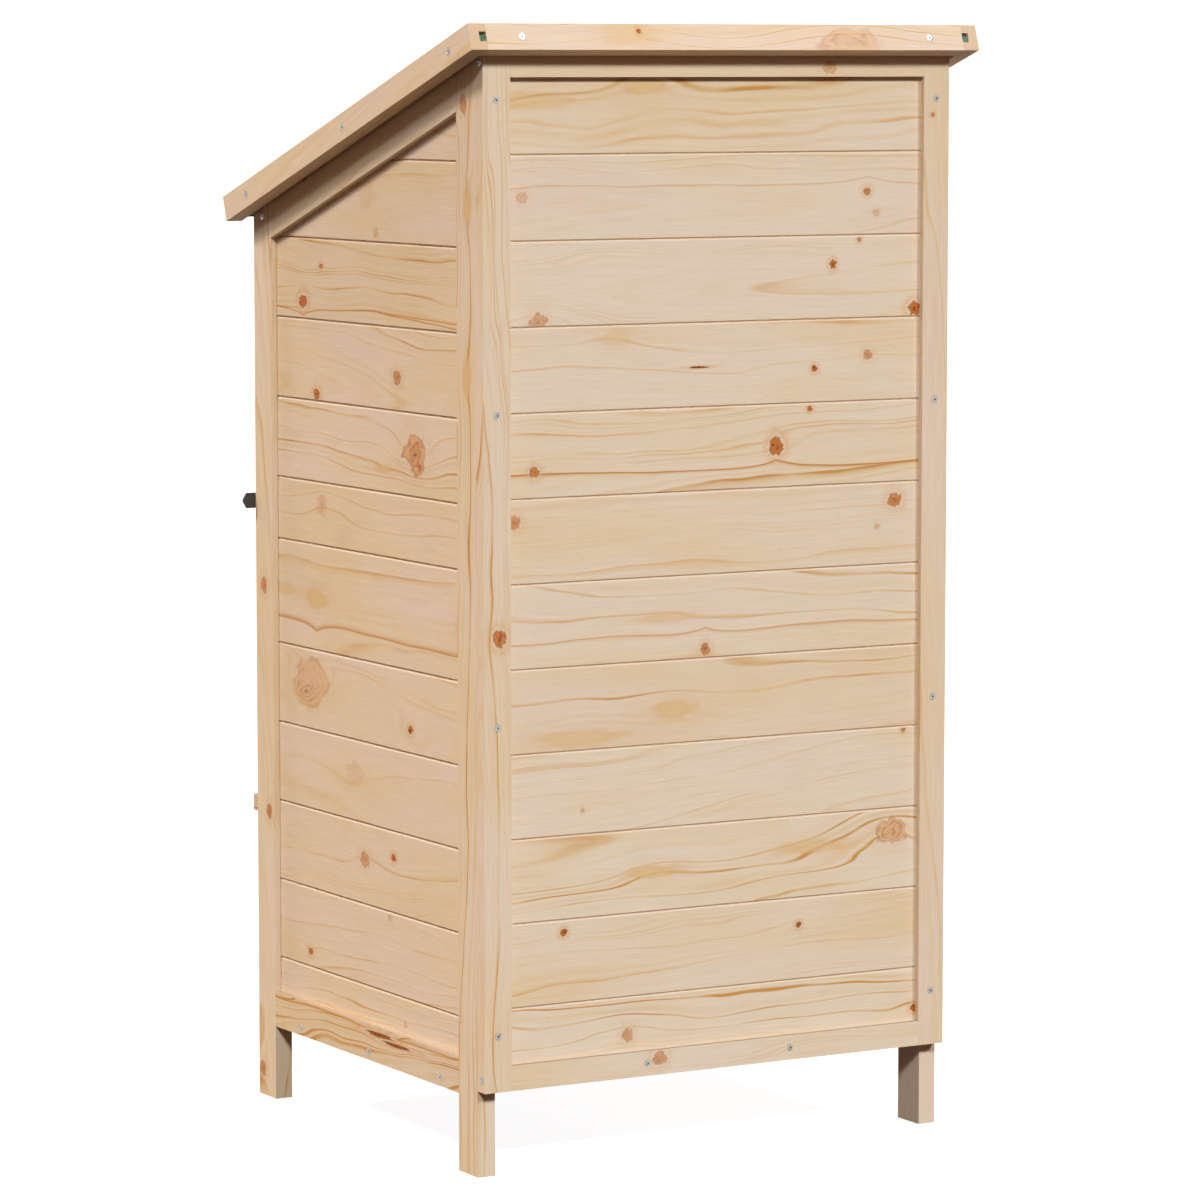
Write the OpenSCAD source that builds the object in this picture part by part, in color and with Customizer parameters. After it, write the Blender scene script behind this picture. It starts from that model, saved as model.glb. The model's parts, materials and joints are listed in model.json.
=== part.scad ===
// Small garden tool shed: a pine cupboard on four legs with a single-pitch felted roof.
// Walls are tongue-and-groove planks housed in grooved frames. The door side faces -Y.
// The origin is at the centre of the footprint, on the ground, and +Z is up.

/* [Overall] */
// Height from the ground to the top edge of the roof at the back
height = 1120; // [1090:1:1180]
// Width over the corner posts
wall_w = 533; // [480:1:640]
// Depth over the corner posts
wall_d = 483; // [440:1:520]
// Roof pitch in degrees, falling to the front
pitch = 18.2; // [15:0.1:20]

/* [Posts and rails] */
// Thickness of the posts and rails, across the shed
post_w = 19; // [17:0.5:24]
// Depth of the posts, front to back
post_d = 39; // [32:1:48]
// Clear height of the legs under the side bottom rails
leg_h = 77.5; // [50:0.5:90]
// Height of the bottom rails
bottom_rail_h = 37; // [30:0.5:45]
// Height of the side top rails, square to the slope
side_top_rail_h = 42; // [34:0.5:50]
// Underside of the front top rail above the ground
front_rail_z = 906; // [880:1:910]
// Depth of the strip that covers the front of the roof joint
cover_t = 9; // [6:0.5:12]
// Underside of that strip above the ground
cover_z = 925.5; // [915:0.5:927]

/* [Planks] */
// Thickness of the planks
plank_t = 8.5; // [7:0.1:9.5]
// Cover width of one plank
plank_pitch = 82.9; // [78:0.1:88]
// How far the side planks and door planks sit behind the frame's face
recess = 6.5; // [4:0.1:7]
// Depth of the grooves that hold the planks
housing = 8; // [6:0.5:9]
// Play of a plank in its groove, in depth
housing_play = 0.5; // [0.3:0.1:0.8]
// Play of a plank in its groove, in thickness
plank_play = 0.2; // [0.1:0.05:0.3]
// Height of the tongue on a plank
tongue_h = 4; // [3:0.1:5]
// Thickness of that tongue
tongue_t = 2.4; // [2:0.1:3]
// Play of the tongue in its groove
tongue_play = 0.2; // [0.1:0.05:0.3]
// Bevel along both edges of a plank's face
bevel = 1.5; // [0.8:0.1:2]
// Gap left between neighbouring planks of a side or of the door
plank_gap = 0.2; // [0.1:0.05:0.3]
// Lowest joint of the side planks above their bottom rail
side_first = 36.3; // [20:0.1:60]
// Cover width of the one wide plank in each side
wide_plank = 109; // [90:1:120]
// Cover width of the narrow plank above it
narrow_plank = 64.5; // [50:0.5:78]
// Lowest joint of the back planks above their bottom rail
back_first = 54.8; // [30:0.1:75]

/* [Back frame] */
// Thickness of the frame laid over the rear posts
back_frame_t = 14.5; // [12:0.5:15]
// Width of its stiles
back_stile_w = 30; // [26:0.5:36]
// Underside of that frame above the ground
back_frame_z = 85.5; // [70:0.5:95]
// Height of its bottom rail
back_bottom_h = 25; // [20:0.5:32]
// Height of its top rail, at the back face
back_top_h = 28.5; // [24:0.5:36]

/* [Roof] */
// Thickness of the boards round the roof
board_t = 18; // [16:0.5:18]
// Height of those boards, square to the slope
board_h = 26.5; // [25:0.5:34]
// How far the roof stands out past the posts at each side
over_side = 22.5; // [20:0.5:35]
// How far the roof's top edge stands out past the rear posts
over_back = 26.5; // [26.5:0.5:40]
// How far the roof's top edge stands out past the front posts
over_front = 27; // [24:0.5:40]
// Height of the groove in the roof boards
roof_groove_h = 9.5; // [9:0.1:11]
// Depth of that groove
roof_groove_d = 7.5; // [5:0.1:9]
// Thickness of the roof panel
panel_t = 5; // [4:0.1:5.5]
// Thickness of the roofing felt
felt_t = 1.5; // [1:0.1:2]
// How far the felt hangs over the panel's front edge
felt_drip = 4; // [2:0.5:6]

/* [Door] */
// Gap between the door and its opening
door_gap = 3; // [2.5:0.1:4]
// Thickness of the door's frame
door_t = 19; // [17:0.5:20]
// Width of the door's stiles and rails
door_frame_w = 38; // [32:0.5:46]

/* [Hinges] */
// Length of a strap from the pin to its point
strap_len = 96; // [70:1:140]
// Height of a strap at the pin
strap_h = 28; // [24:0.5:32]
// Height of a strap near its point
strap_tip_h = 14; // [10:0.5:20]
// Thickness of the straps and leaves
plate_t = 2; // [1.5:0.1:2.2]
// Height of the leaf on the post
leaf_h = 60; // [50:1:70]
// Radius of the hinge's knuckles
knuckle_r = 3.2; // [2.8:0.1:3.2]
// Diameter of the hinge pin
pin_d = 3; // [2:0.1:3.6]

/* [Latch] */
// Height of the latch above the ground
latch_z = 628; // [500:1:700]
// Width of the latch bar
latch_h = 16; // [12:0.5:17]
// Thickness of the latch bar
latch_t = 3; // [2:0.1:4]
// How far the latch stands out past the side of the post when it is undone
latch_out = 14; // [10:0.5:20]
// Length of the blunt point on the latch
latch_point = 4; // [3:0.5:6]
// Diameter of the latch's pivot screw
latch_pin_d = 4; // [3.5:0.1:5]

/* [Stop block] */
// Underside of the wooden block on the door above the ground
block_z = 300.5; // [200:0.5:420]
// Height of the block
block_h = 17.5; // [14:0.5:24]
// Thickness of the block
block_t = 10; // [8:0.5:16]

/* [Inside] */
// Section of the cleats under the floor and shelves
cleat = 17.5; // [15:0.5:18]
// Thickness of the floor
floor_t = 12; // [9:0.5:15]
// Thickness of the shelves
shelf_t = 12; // [9:0.5:18]
// Underside of the lower shelf above the ground
lower_shelf_z = 372; // [340:1:400]
// Underside of the upper shelf above the ground
upper_shelf_z = 636; // [600:1:680]
// Depth of the shelves
shelf_d = 380; // [300:5:400]

/* [Screws] */
// Diameter of a wood screw's shank
screw_d = 3.5; // [3:0.1:4]
// Diameter of its head
head_d = 7.6; // [6.5:0.1:8.5]
// Thickness of its head
head_h = 1.2; // [1:0.1:1.6]
// How far a head stands proud of the wood
head_proud = 0.3; // [0.1:0.1:0.5]

/* [Hidden] */
$fn = 32;
eps = 0.01;

// Fits
shaft_play = 0.05;
knuckle_gap = 0.3;
latch_gap = 0.3;
edge_play = 0.5;
seat = 0.1;

// Colours, as the finished surfaces
pine = "#DEC3A0";
pine_side = "#D3B08A";
zinc = "#C9CBCC";
black_steel = "#2F3032";
felt_green = "#5C7D66";

// Plan of the posts: the footprint's centre is under the centre of the whole roof
roof_run = wall_d + over_back + over_front;
top_front_y = -(roof_run + board_h * sin(pitch)) / 2;
top_back_y = top_front_y + roof_run;
front_y = top_front_y + over_front;
rear_y = front_y + wall_d;
back_y = rear_y + back_frame_t;
out_x = wall_w / 2;
in_x = out_x - post_w;
roof_x = out_x + over_side;
roof_in_x = roof_x - board_t;
roof_len = roof_run / cos(pitch);
bay_front = front_y + post_d;
bay_rear = rear_y - post_d;

// Heights along the slope: depth d is measured square to the roof's top edge
function under_z(y, d) = height - (top_back_y - y) * tan(pitch) - d / cos(pitch);
function roof_pt(s, d) = [top_back_y - s * cos(pitch) + d * sin(pitch),
                          height - s * sin(pitch) - d * cos(pitch)];
groove_top = (board_h - roof_groove_h) / 2;
groove_low = (board_h + roof_groove_h) / 2;
panel_low = groove_low - seat;
panel_high = panel_low - panel_t;
felt_low = panel_high - seat;
felt_high = felt_low - felt_t;
rail_low = groove_low + side_top_rail_h;

// Side wall
rail_top_z = leg_h + bottom_rail_h;
plank_x = out_x - recess - plank_t;
housing_in = housing - housing_play;
side_plank_l = bay_rear - bay_front + 2 * housing_in;
side_cut = rail_low - housing_in;

// Back wall
back_rail_top = back_frame_z + back_bottom_h;
back_top_low = under_z(back_y, groove_low) - back_top_h;
back_in_x = out_x - back_stile_w;
back_plank_l = 2 * (back_in_x + housing_in);
back_joint = back_rail_top + back_first;

// Door
door_x = in_x - door_gap;
door_z0 = rail_top_z + door_gap;
door_z1 = front_rail_z - door_gap;
door_in_x = door_x - door_frame_w;
door_plank_z0 = door_z0 + door_frame_w - housing_in;
door_plank_z1 = door_z1 - door_frame_w + housing_in;

// Hinges: the pin stands in front of the gap beside the left post
pin_x = -in_x + door_gap / 2;
pin_y = front_y - knuckle_r;
hinge_z = [door_z0 + door_frame_w / 2, door_z1 - door_frame_w / 2];
leaf_out = post_w - 3;
strap_knuckle = strap_h - 2 * knuckle_gap;

// Latch
latch_x = out_x - post_w / 2;
latch_y = front_y - latch_gap;
latch_tip = out_x + latch_out - latch_x;

// Inside
floor_z = leg_h + cleat;
floor_cleat_short = 65;
inside_front = front_y + door_t + 2;

// Screw places: each is [x, y, z]
screw_l = 35;
back_screw_first = 55.5;
back_screw_pitch = 302;
floor_screw_first = 58;
floor_screw_pitch = 154;
floor_screw_z = leg_h + cleat / 2;
back_rail_screw_x = 83;
back_rail_screw_z = back_frame_z + back_bottom_h / 2;
frame_edge_y = rear_y + back_frame_t / 2;
back_rail_zs = [back_rail_screw_z, back_top_low + back_top_h / 2];
front_rail_screw_z = front_rail_z + 18.5;
stile_screw_zs = [for (i = [0 : 3]) back_frame_z + back_screw_first + i * back_screw_pitch];
floor_screw_ys = [for (i = [0 : 2]) bay_front + floor_screw_first + i * floor_screw_pitch];
cleat_screw_ys = [inside_front + 6, rear_y - post_d / 2];
roof_screw_s = [46, roof_len / 2, roof_len - 52];
roof_screw_l = board_t - roof_groove_d - 1;
back_board_screw_x = roof_x - 57;
leaf_screw_z = 20;
strap_screw_x = [22, 60];
block_x0 = door_in_x;
block_screw_x = [block_x0 + 10, door_x - 10];

// A bar whose outline lies in the Y-Z plane, from x0 to x1
module yz_bar(x0, x1, pts) {
    translate([x0, 0, 0]) rotate([90, 0, 90]) linear_extrude(height = x1 - x0) polygon(pts);
}

// A block between two opposite corners
module block(a, b) {
    translate(a) cube(b - a);
}

// The right-hand piece, mirrored to the left where asked
module handed(left) {
    mirror([left ? 1 : 0, 0, 0]) children();
}

// A stretch of the roof's section: s runs down the slope from the back, d is depth below the top edge
module roof_bar(x0, x1, s0, s1, d0, d1) {
    yz_bar(x0, x1, [roof_pt(s0, d0), roof_pt(s1, d0), roof_pt(s1, d1), roof_pt(s0, d1)]);
}

// An upright piece with its foot at z0 and its top under the roof panel
module under_roof(x0, x1, y0, y1, z0) {
    yz_bar(x0, x1, [[y0, z0], [y1, z0], [y1, under_z(y1, groove_low)], [y0, under_z(y0, groove_low)]]);
}

// Turn from a screw's own axis to a face of the shed
module facing(side) {
    turn = side == "right" ? [0, 90, 0]
         : side == "left" ? [0, -90, 0]
         : side == "back" ? [-90, 0, 0]
         : side == "slope_back" ? [pitch - 90, 0, 0]
         : [90, 0, 0];
    rotate(turn) children();
}

// A wood screw with its head at the origin, driven down -Z
module screw(len = screw_l) {
    translate([0, 0, head_proud - head_h]) cylinder(h = head_h, d = head_d);
    translate([0, 0, -len]) cylinder(h = len + head_proud - head_h, d = screw_d);
}

// The hole for that screw
module screw_hole(len = screw_l) {
    translate([0, 0, head_proud - head_h]) cylinder(h = head_h + 1, d = head_d + 2 * shaft_play);
    translate([0, 0, -len - edge_play]) cylinder(h = len + 2, d = screw_d + 2 * shaft_play);
}

// Places of the screws in the walls, for screws and for their holes
module at_back_stile_screws() {
    for (side = [-1, 1], z = stile_screw_zs)
        translate([side * (out_x - back_stile_w / 2), back_y, z]) facing("back") children();
}
module at_back_rail_screws() {
    for (side = [-1, 1])
        translate([side * back_rail_screw_x, back_y, back_rail_screw_z]) facing("back") children();
}
module at_frame_edge_screws() {
    for (z = back_rail_zs) {
        translate([out_x, frame_edge_y, z]) facing("right") children();
        translate([-out_x, frame_edge_y, z]) facing("left") children();
    }
}
module at_floor_screws() {
    for (y = floor_screw_ys) {
        translate([out_x, y, floor_screw_z]) facing("right") children();
        translate([-out_x, y, floor_screw_z]) facing("left") children();
    }
}
module at_front_rail_screws() {
    translate([out_x, front_y + post_d / 2, front_rail_screw_z]) facing("right") children();
    translate([-out_x, front_y + post_d / 2, front_rail_screw_z]) facing("left") children();
}
module at_cleat_screws() {
    for (z = [lower_shelf_z, upper_shelf_z], y = cleat_screw_ys) {
        translate([in_x - cleat, y, z - cleat / 2]) facing("left") children();
        translate([cleat - in_x, y, z - cleat / 2]) facing("right") children();
    }
}
module at_side_board_screws() {
    for (s = roof_screw_s) {
        p = roof_pt(s, board_h / 2);
        translate([roof_x, p[0], p[1]]) facing("right") children();
        translate([-roof_x, p[0], p[1]]) facing("left") children();
    }
}
module at_back_board_screws() {
    p = roof_pt(0, board_h / 2);
    for (side = [-1, 1])
        translate([side * back_board_screw_x, p[0], p[1]]) facing("slope_back") children();
}
module at_leaf_screws() {
    for (z = hinge_z, up = [-1, 1])
        translate([-out_x + post_w / 2 - 1, front_y - plate_t, z + up * leaf_screw_z]) facing("front") children();
}
module at_strap_screws() {
    for (z = hinge_z, x = strap_screw_x)
        translate([pin_x + x, front_y - plate_t, z]) facing("front") children();
}
module at_block_screws() {
    for (x = block_screw_x)
        translate([x, front_y - block_t, block_z + block_h / 2]) facing("front") children();
}

long_l = back_stile_w + 30;
floor_l = post_w + 12;
front_l = post_w + 26;
cleat_l = cleat + post_w - 5;
leaf_l = 14;
block_l = block_t + 14;

// Outline of a plank of cover width h: x runs from its inner face to its outer face
function plank_outline(h, tongue, groove) =
    let (mid = (plank_t - bevel) / 2,
         t0 = mid - tongue_t / 2,
         t1 = mid + tongue_t / 2)
    concat([[0, 0]],
           groove ? [[t0 - tongue_play, 0], [t0 - tongue_play, tongue_h + 2 * tongue_play],
                     [t1 + tongue_play, tongue_h + 2 * tongue_play], [t1 + tongue_play, 0]] : [],
           [[plank_t - bevel, 0], [plank_t, bevel], [plank_t, h - bevel], [plank_t - bevel, h]],
           tongue ? [[t1, h], [t1, h + tongue_h], [t0, h + tongue_h], [t0, h]] : [],
           [[0, h]]);

// A plank that lies along X and faces +Y, its inner lower edge on the X axis
module back_facing_plank(len, h, tongue = true, groove = true) {
    translate([-len / 2, 0, 0]) rotate([90, 0, 90]) linear_extrude(height = len)
        polygon(plank_outline(h, tongue, groove));
}

// A plank that lies along Y and faces +X, its inner lower edge on the Y axis
module side_facing_plank(y0, y1, h, tongue = true, groove = true) {
    translate([0, y1, 0]) rotate([90, 0, 0]) linear_extrude(height = y1 - y0)
        polygon(plank_outline(h, tongue, groove));
}

// Corner posts, grooved for the side planks and cut to the roof's slope

module right_post(y0, groove_y0, groove_top_z) {
    difference() {
        under_roof(in_x, out_x, y0, y0 + post_d, 0);
        block([plank_x - plank_play, groove_y0, rail_top_z - housing],
              [out_x - recess, groove_y0 + housing + eps, groove_top_z]);
        at_back_stile_screws() screw_hole();
        at_front_rail_screws() screw_hole(front_l);
        at_cleat_screws() screw_hole(cleat_l);
    }
}

module front_post() {
    right_post(front_y, bay_front - housing, under_z(bay_front, rail_low - housing));
}

module rear_post() {
    right_post(bay_rear, bay_rear - eps, under_z(bay_rear + housing, rail_low - housing));
}

module front_post_left() {
    color(pine_side) difference() {
        handed(true) front_post();
        at_leaf_screws() screw_hole(leaf_l);
    }
}

module front_post_right() {
    color(pine_side) difference() {
        front_post();
        translate([latch_x, front_y - 1, latch_z]) rotate([-90, 0, 0])
            cylinder(h = post_d / 2 + 1, d = latch_pin_d + 2 * shaft_play);
    }
}

module rear_post_left() { color(pine_side) handed(true) rear_post(); }
module rear_post_right() { color(pine_side) rear_post(); }

// Side frames

module side_bottom_rail() {
    difference() {
        block([in_x, bay_front, leg_h], [out_x, bay_rear, rail_top_z]);
        block([plank_x - plank_play, bay_front - eps, rail_top_z - housing],
              [out_x - recess, bay_rear + eps, rail_top_z + eps]);
        at_floor_screws() screw_hole(floor_l);
    }
}

module side_bottom_rail_left() { color(pine_side) handed(true) side_bottom_rail(); }
module side_bottom_rail_right() { color(pine_side) side_bottom_rail(); }

function sloped_strip(y0, y1, d0, d1) =
    [[y0, under_z(y0, d1)], [y1, under_z(y1, d1)], [y1, under_z(y1, d0)], [y0, under_z(y0, d0)]];

module side_top_rail() {
    difference() {
        yz_bar(in_x, out_x, sloped_strip(bay_front, bay_rear, groove_low, rail_low));
        yz_bar(plank_x - plank_play, out_x - recess,
               sloped_strip(bay_front - eps, bay_rear + eps, rail_low - housing, rail_low + eps));
    }
}

module side_top_rail_left() { color(pine_side) handed(true) side_top_rail(); }
module side_top_rail_right() { color(pine_side) side_top_rail(); }

// Side planks: equal boards, with one wide and one narrow board half way up
side_widths = concat([side_first + housing_in],
                     [for (i = [1 : 4]) plank_pitch],
                     [wide_plank, narrow_plank],
                     [for (i = [1 : 5]) plank_pitch]);

function sum_to(list, n) = n <= 0 ? 0 : list[n - 1] + sum_to(list, n - 1);

module side_plank_stack() {
    y0 = bay_front - housing_in;
    y1 = bay_rear + housing_in;
    z0 = rail_top_z - housing_in;
    for (i = [0 : len(side_widths) - 1]) {
        z = z0 + sum_to(side_widths, i);
        if (z < under_z(y1, side_cut) - 2 * tongue_h)
            difference() {
                translate([plank_x, 0, z])
                    side_facing_plank(y0, y1, side_widths[i] - plank_gap, i < len(side_widths) - 1, i > 0);
                if (z + plank_pitch + tongue_h > under_z(y0, side_cut))
                    yz_bar(plank_x - 1, out_x, [[y0 - 20, under_z(y0 - 20, side_cut)],
                                                [y1 + 20, under_z(y1 + 20, side_cut)],
                                                [y1 + 20, height + 40], [y0 - 20, height + 40]]);
            }
    }
}

module side_planks_left() { color(pine_side) handed(true) side_plank_stack(); }
module side_planks_right() { color(pine_side) side_plank_stack(); }

// Back frame, laid over the rear posts and rebated for the planks

module back_rebate() {
    block([-back_in_x - housing, rear_y - eps, back_rail_top - housing],
          [back_in_x + housing, rear_y + plank_t + plank_play, back_top_low + housing]);
}

module back_stile() {
    difference() {
        under_roof(back_in_x, out_x, rear_y, back_y, back_frame_z);
        back_rebate();
        at_back_stile_screws() screw_hole();
        at_frame_edge_screws() screw_hole(long_l);
    }
}

module back_stile_left() { color(pine) handed(true) back_stile(); }
module back_stile_right() { color(pine) back_stile(); }

module back_top_rail() {
    color(pine) difference() {
        under_roof(-back_in_x, back_in_x, rear_y, back_y, back_top_low);
        back_rebate();
        at_frame_edge_screws() screw_hole(long_l);
    }
}

module back_bottom_rail() {
    color(pine) difference() {
        block([-back_in_x, rear_y, back_frame_z], [back_in_x, back_y, back_rail_top]);
        back_rebate();
        at_back_rail_screws() screw_hole();
        at_frame_edge_screws() screw_hole(long_l);
    }
}

// Back planks, counted from the bottom: the lowest and the top one are cut to the frame
module back_plank(i) {
    low = back_rail_top - housing_in;
    high = back_top_low + housing_in;
    z0 = i == 0 ? low : back_joint + (i - 1) * plank_pitch;
    z1 = min(back_joint + i * plank_pitch, high);
    last = z1 + tongue_h > high;
    if (z0 < high - tongue_h)
        color(pine) translate([0, rear_y, z0])
            back_facing_plank(back_plank_l, (last ? high : z1) - z0, !last, i > 0);
}

module back_plank_01() { back_plank(0); }
module back_plank_02() { back_plank(1); }
module back_plank_03() { back_plank(2); }
module back_plank_04() { back_plank(3); }
module back_plank_05() { back_plank(4); }
module back_plank_06() { back_plank(5); }
module back_plank_07() { back_plank(6); }
module back_plank_08() { back_plank(7); }
module back_plank_09() { back_plank(8); }
module back_plank_10() { back_plank(9); }
module back_plank_11() { back_plank(10); }
module back_plank_12() { back_plank(11); }

// Front frame

module front_top_rail() {
    color(pine_side) difference() {
        under_roof(-in_x, in_x, front_y, bay_front, front_rail_z);
        at_front_rail_screws() screw_hole(front_l);
    }
}

module front_bottom_rail() {
    color(pine_side) block([-in_x, front_y, leg_h], [in_x, front_y + post_w, rail_top_z]);
}

module front_cover_strip() {
    color(pine_side) under_roof(-out_x, out_x, front_y - cover_t, front_y, cover_z);
}

// Roof: three boards, grooved inside, round a felted panel that slides in from the low front edge

module roof_board_right() {
    color(pine_side) difference() {
        roof_bar(roof_in_x, roof_x, 0, roof_len, 0, board_h);
        roof_bar(roof_in_x - 1, roof_in_x + roof_groove_d, -1, roof_len + 1, groove_top, groove_low);
        at_side_board_screws() screw_hole(roof_screw_l);
    }
}

module roof_board_left() {
    color(pine_side) mirror([1, 0, 0]) difference() {
        roof_bar(roof_in_x, roof_x, 0, roof_len, 0, board_h);
        roof_bar(roof_in_x - 1, roof_in_x + roof_groove_d, -1, roof_len + 1, groove_top, groove_low);
        at_side_board_screws() screw_hole(roof_screw_l);
    }
}

module roof_board_back() {
    color(pine) difference() {
        roof_bar(-roof_in_x, roof_in_x, 0, board_t, 0, board_h);
        roof_bar(-roof_in_x - 1, roof_in_x + 1, board_t - roof_groove_d, board_t + 1, groove_top, groove_low);
        at_back_board_screws() screw_hole(roof_screw_l);
    }
}

// The panel's side edges fill the grooves right to the back end of the side boards
tab_end = 1;
groove_in = roof_groove_d - edge_play;
panel_x = roof_in_x + groove_in;
panel_s0 = board_t - groove_in;

module roof_panel() {
    s1 = roof_len - felt_t - edge_play - seat;
    color(pine_side) union() {
        roof_bar(-panel_x, panel_x, panel_s0, s1, panel_high, panel_low);
        for (side = [-1, 1])
            roof_bar(min(side * roof_in_x, side * panel_x), max(side * roof_in_x, side * panel_x),
                     tab_end + felt_t + seat, panel_s0 + 1, panel_high, panel_low);
    }
}

module roof_felt() {
    s1 = roof_len - edge_play;
    lip_x = roof_in_x - edge_play;
    color(felt_green) union() {
        roof_bar(-panel_x, panel_x, panel_s0, s1, felt_high, felt_low);
        roof_bar(-lip_x, lip_x, s1 - felt_t, s1, felt_high, groove_low + felt_drip);
        for (side = [-1, 1]) {
            a = min(side * roof_in_x, side * panel_x);
            b = max(side * roof_in_x, side * panel_x);
            roof_bar(a, b, tab_end, panel_s0 + 1, felt_high, felt_low);
            roof_bar(a, b, tab_end, tab_end + felt_t, felt_high, panel_low);
        }
    }
}

// Inside: floor and two shelves on cleats

module floor_cleat() {
    difference() {
        // ends short of the back, so that it doesn't show below the back frame
        block([in_x - cleat, front_y + post_w, leg_h], [in_x, rear_y - floor_cleat_short, floor_z]);
        at_floor_screws() screw_hole(floor_l);
    }
}

module floor_cleat_left() { color(pine) handed(true) floor_cleat(); }
module floor_cleat_right() { color(pine) floor_cleat(); }

module floor_panel() {
    color(pine) difference() {
        block([edge_play - in_x, front_y + post_w + edge_play, floor_z],
              [in_x - edge_play, rear_y - edge_play, floor_z + floor_t]);
        at_back_rail_screws() screw_hole();
    }
}

module shelf_cleat(z) {
    difference() {
        block([in_x - cleat, inside_front, z - cleat], [in_x, rear_y, z]);
        at_cleat_screws() screw_hole(cleat_l);
    }
}

module lower_cleat_left() { color(pine) handed(true) shelf_cleat(lower_shelf_z); }
module lower_cleat_right() { color(pine) shelf_cleat(lower_shelf_z); }
module upper_cleat_left() { color(pine) handed(true) shelf_cleat(upper_shelf_z); }
module upper_cleat_right() { color(pine) shelf_cleat(upper_shelf_z); }

module shelf(z) {
    block([edge_play - in_x, rear_y - edge_play - shelf_d, z], [in_x - edge_play, rear_y - edge_play, z + shelf_t]);
}

module lower_shelf() { color(pine) shelf(lower_shelf_z); }
module upper_shelf() { color(pine) shelf(upper_shelf_z); }

// Door: a grooved frame with tongue-and-groove planks

module door_housing() {
    block([-door_in_x - housing, front_y + recess, door_z0 + door_frame_w - housing],
          [door_in_x + housing, front_y + recess + plank_t + plank_play, door_z1 - door_frame_w + housing]);
}

module door_stile_hinge() {
    color(pine_side) difference() {
        block([-door_x, front_y, door_z0], [-door_in_x, front_y + door_t, door_z1]);
        door_housing();
        at_strap_screws() screw_hole(leaf_l);
    }
}

module door_stile_latch() {
    color(pine_side) difference() {
        block([door_in_x, front_y, door_z0], [door_x, front_y + door_t, door_z1]);
        door_housing();
        at_block_screws() screw_hole(block_l);
    }
}

module door_rail(z0) {
    color(pine_side) difference() {
        block([-door_in_x, front_y, z0], [door_in_x, front_y + door_t, z0 + door_frame_w]);
        door_housing();
        at_strap_screws() screw_hole(leaf_l);
    }
}

module door_bottom_rail() { door_rail(door_z0); }
module door_top_rail() { door_rail(door_z1 - door_frame_w); }

module door_planks() {
    n = ceil((door_plank_z1 - door_plank_z0) / plank_pitch);
    color(pine_side) for (i = [0 : n - 1]) {
        z0 = door_plank_z0 + i * plank_pitch;
        last = z0 + plank_pitch + tongue_h > door_plank_z1;
        if (z0 + 2 * tongue_h < door_plank_z1)
            translate([0, front_y + recess + plank_t, z0]) mirror([0, 1, 0])
                back_facing_plank(2 * (door_in_x + housing_in),
                                  last ? door_plank_z1 - z0 : plank_pitch - plank_gap, !last, i > 0);
    }
}

// Hinges: a leaf on the post with two knuckles, a pointed strap on the door with one

module knuckle(z0, z1, bore) {
    translate([pin_x, pin_y, z0]) difference() {
        cylinder(h = z1 - z0, r = knuckle_r);
        translate([0, 0, -1]) cylinder(h = z1 - z0 + 2, d = bore);
    }
}

module pin_clearance(z) {
    translate([pin_x, pin_y, z - leaf_h / 2 - 1]) cylinder(h = leaf_h + 2, d = pin_d + 2 * shaft_play);
}

module hinge_leaf(z) {
    color(black_steel) difference() {
        union() {
            block([pin_x - leaf_out, front_y - plate_t, z - leaf_h / 2], [pin_x, front_y, z + leaf_h / 2]);
            for (up = [-1, 1])
                knuckle(z + min(up * strap_h, up * leaf_h) / 2, z + max(up * strap_h, up * leaf_h) / 2,
                        pin_d + 2 * shaft_play);
        }
        block([pin_x - knuckle_r - 2 * knuckle_gap, front_y - 2 * knuckle_r - 1, z - strap_h / 2],
              [pin_x + knuckle_r + 1, front_y + 1, z + strap_h / 2]);
        pin_clearance(z);
        at_leaf_screws() screw_hole(leaf_l);
    }
}

module hinge_leaf_lower() { hinge_leaf(hinge_z[0]); }
module hinge_leaf_upper() { hinge_leaf(hinge_z[1]); }

module hinge_strap(z) {
    half = strap_knuckle / 2;
    tip = strap_tip_h / 2;
    color(black_steel) difference() {
        union() {
            knuckle(z - half, z + half, pin_d + 2 * shaft_play);
            translate([pin_x, front_y, z]) rotate([90, 0, 0]) linear_extrude(height = plate_t)
                polygon([[0, -half], [10, -half], [20, -tip], [strap_len - latch_point, -tip], [strap_len, 0],
                         [strap_len - latch_point, tip], [20, tip], [10, half], [0, half]]);
        }
        pin_clearance(z);
        at_strap_screws() screw_hole(leaf_l);
    }
}

module hinge_strap_lower() { hinge_strap(hinge_z[0]); }
module hinge_strap_upper() { hinge_strap(hinge_z[1]); }

module hinge_pins() {
    color(black_steel) for (z = hinge_z) translate([pin_x, pin_y, z - leaf_h / 2]) {
        cylinder(h = leaf_h, d = pin_d);
        translate([0, 0, leaf_h]) cylinder(h = 1.5, r = knuckle_r - 0.4);
    }
}

// Latch: a bar that turns on one screw in the post's front face

module latch_bar() {
    color(black_steel) translate([latch_x, latch_y, latch_z]) rotate([90, 0, 0]) difference() {
        linear_extrude(height = latch_t) union() {
            circle(d = latch_h);
            polygon([[0, -latch_h / 2], [latch_tip - latch_point, -latch_h / 2], [latch_tip, -1], [latch_tip, 1],
                     [latch_tip - latch_point, latch_h / 2], [0, latch_h / 2]]);
        }
        translate([0, 0, -1]) cylinder(h = latch_t + 2, d = latch_pin_d + 2 * shaft_play);
    }
}

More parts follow.
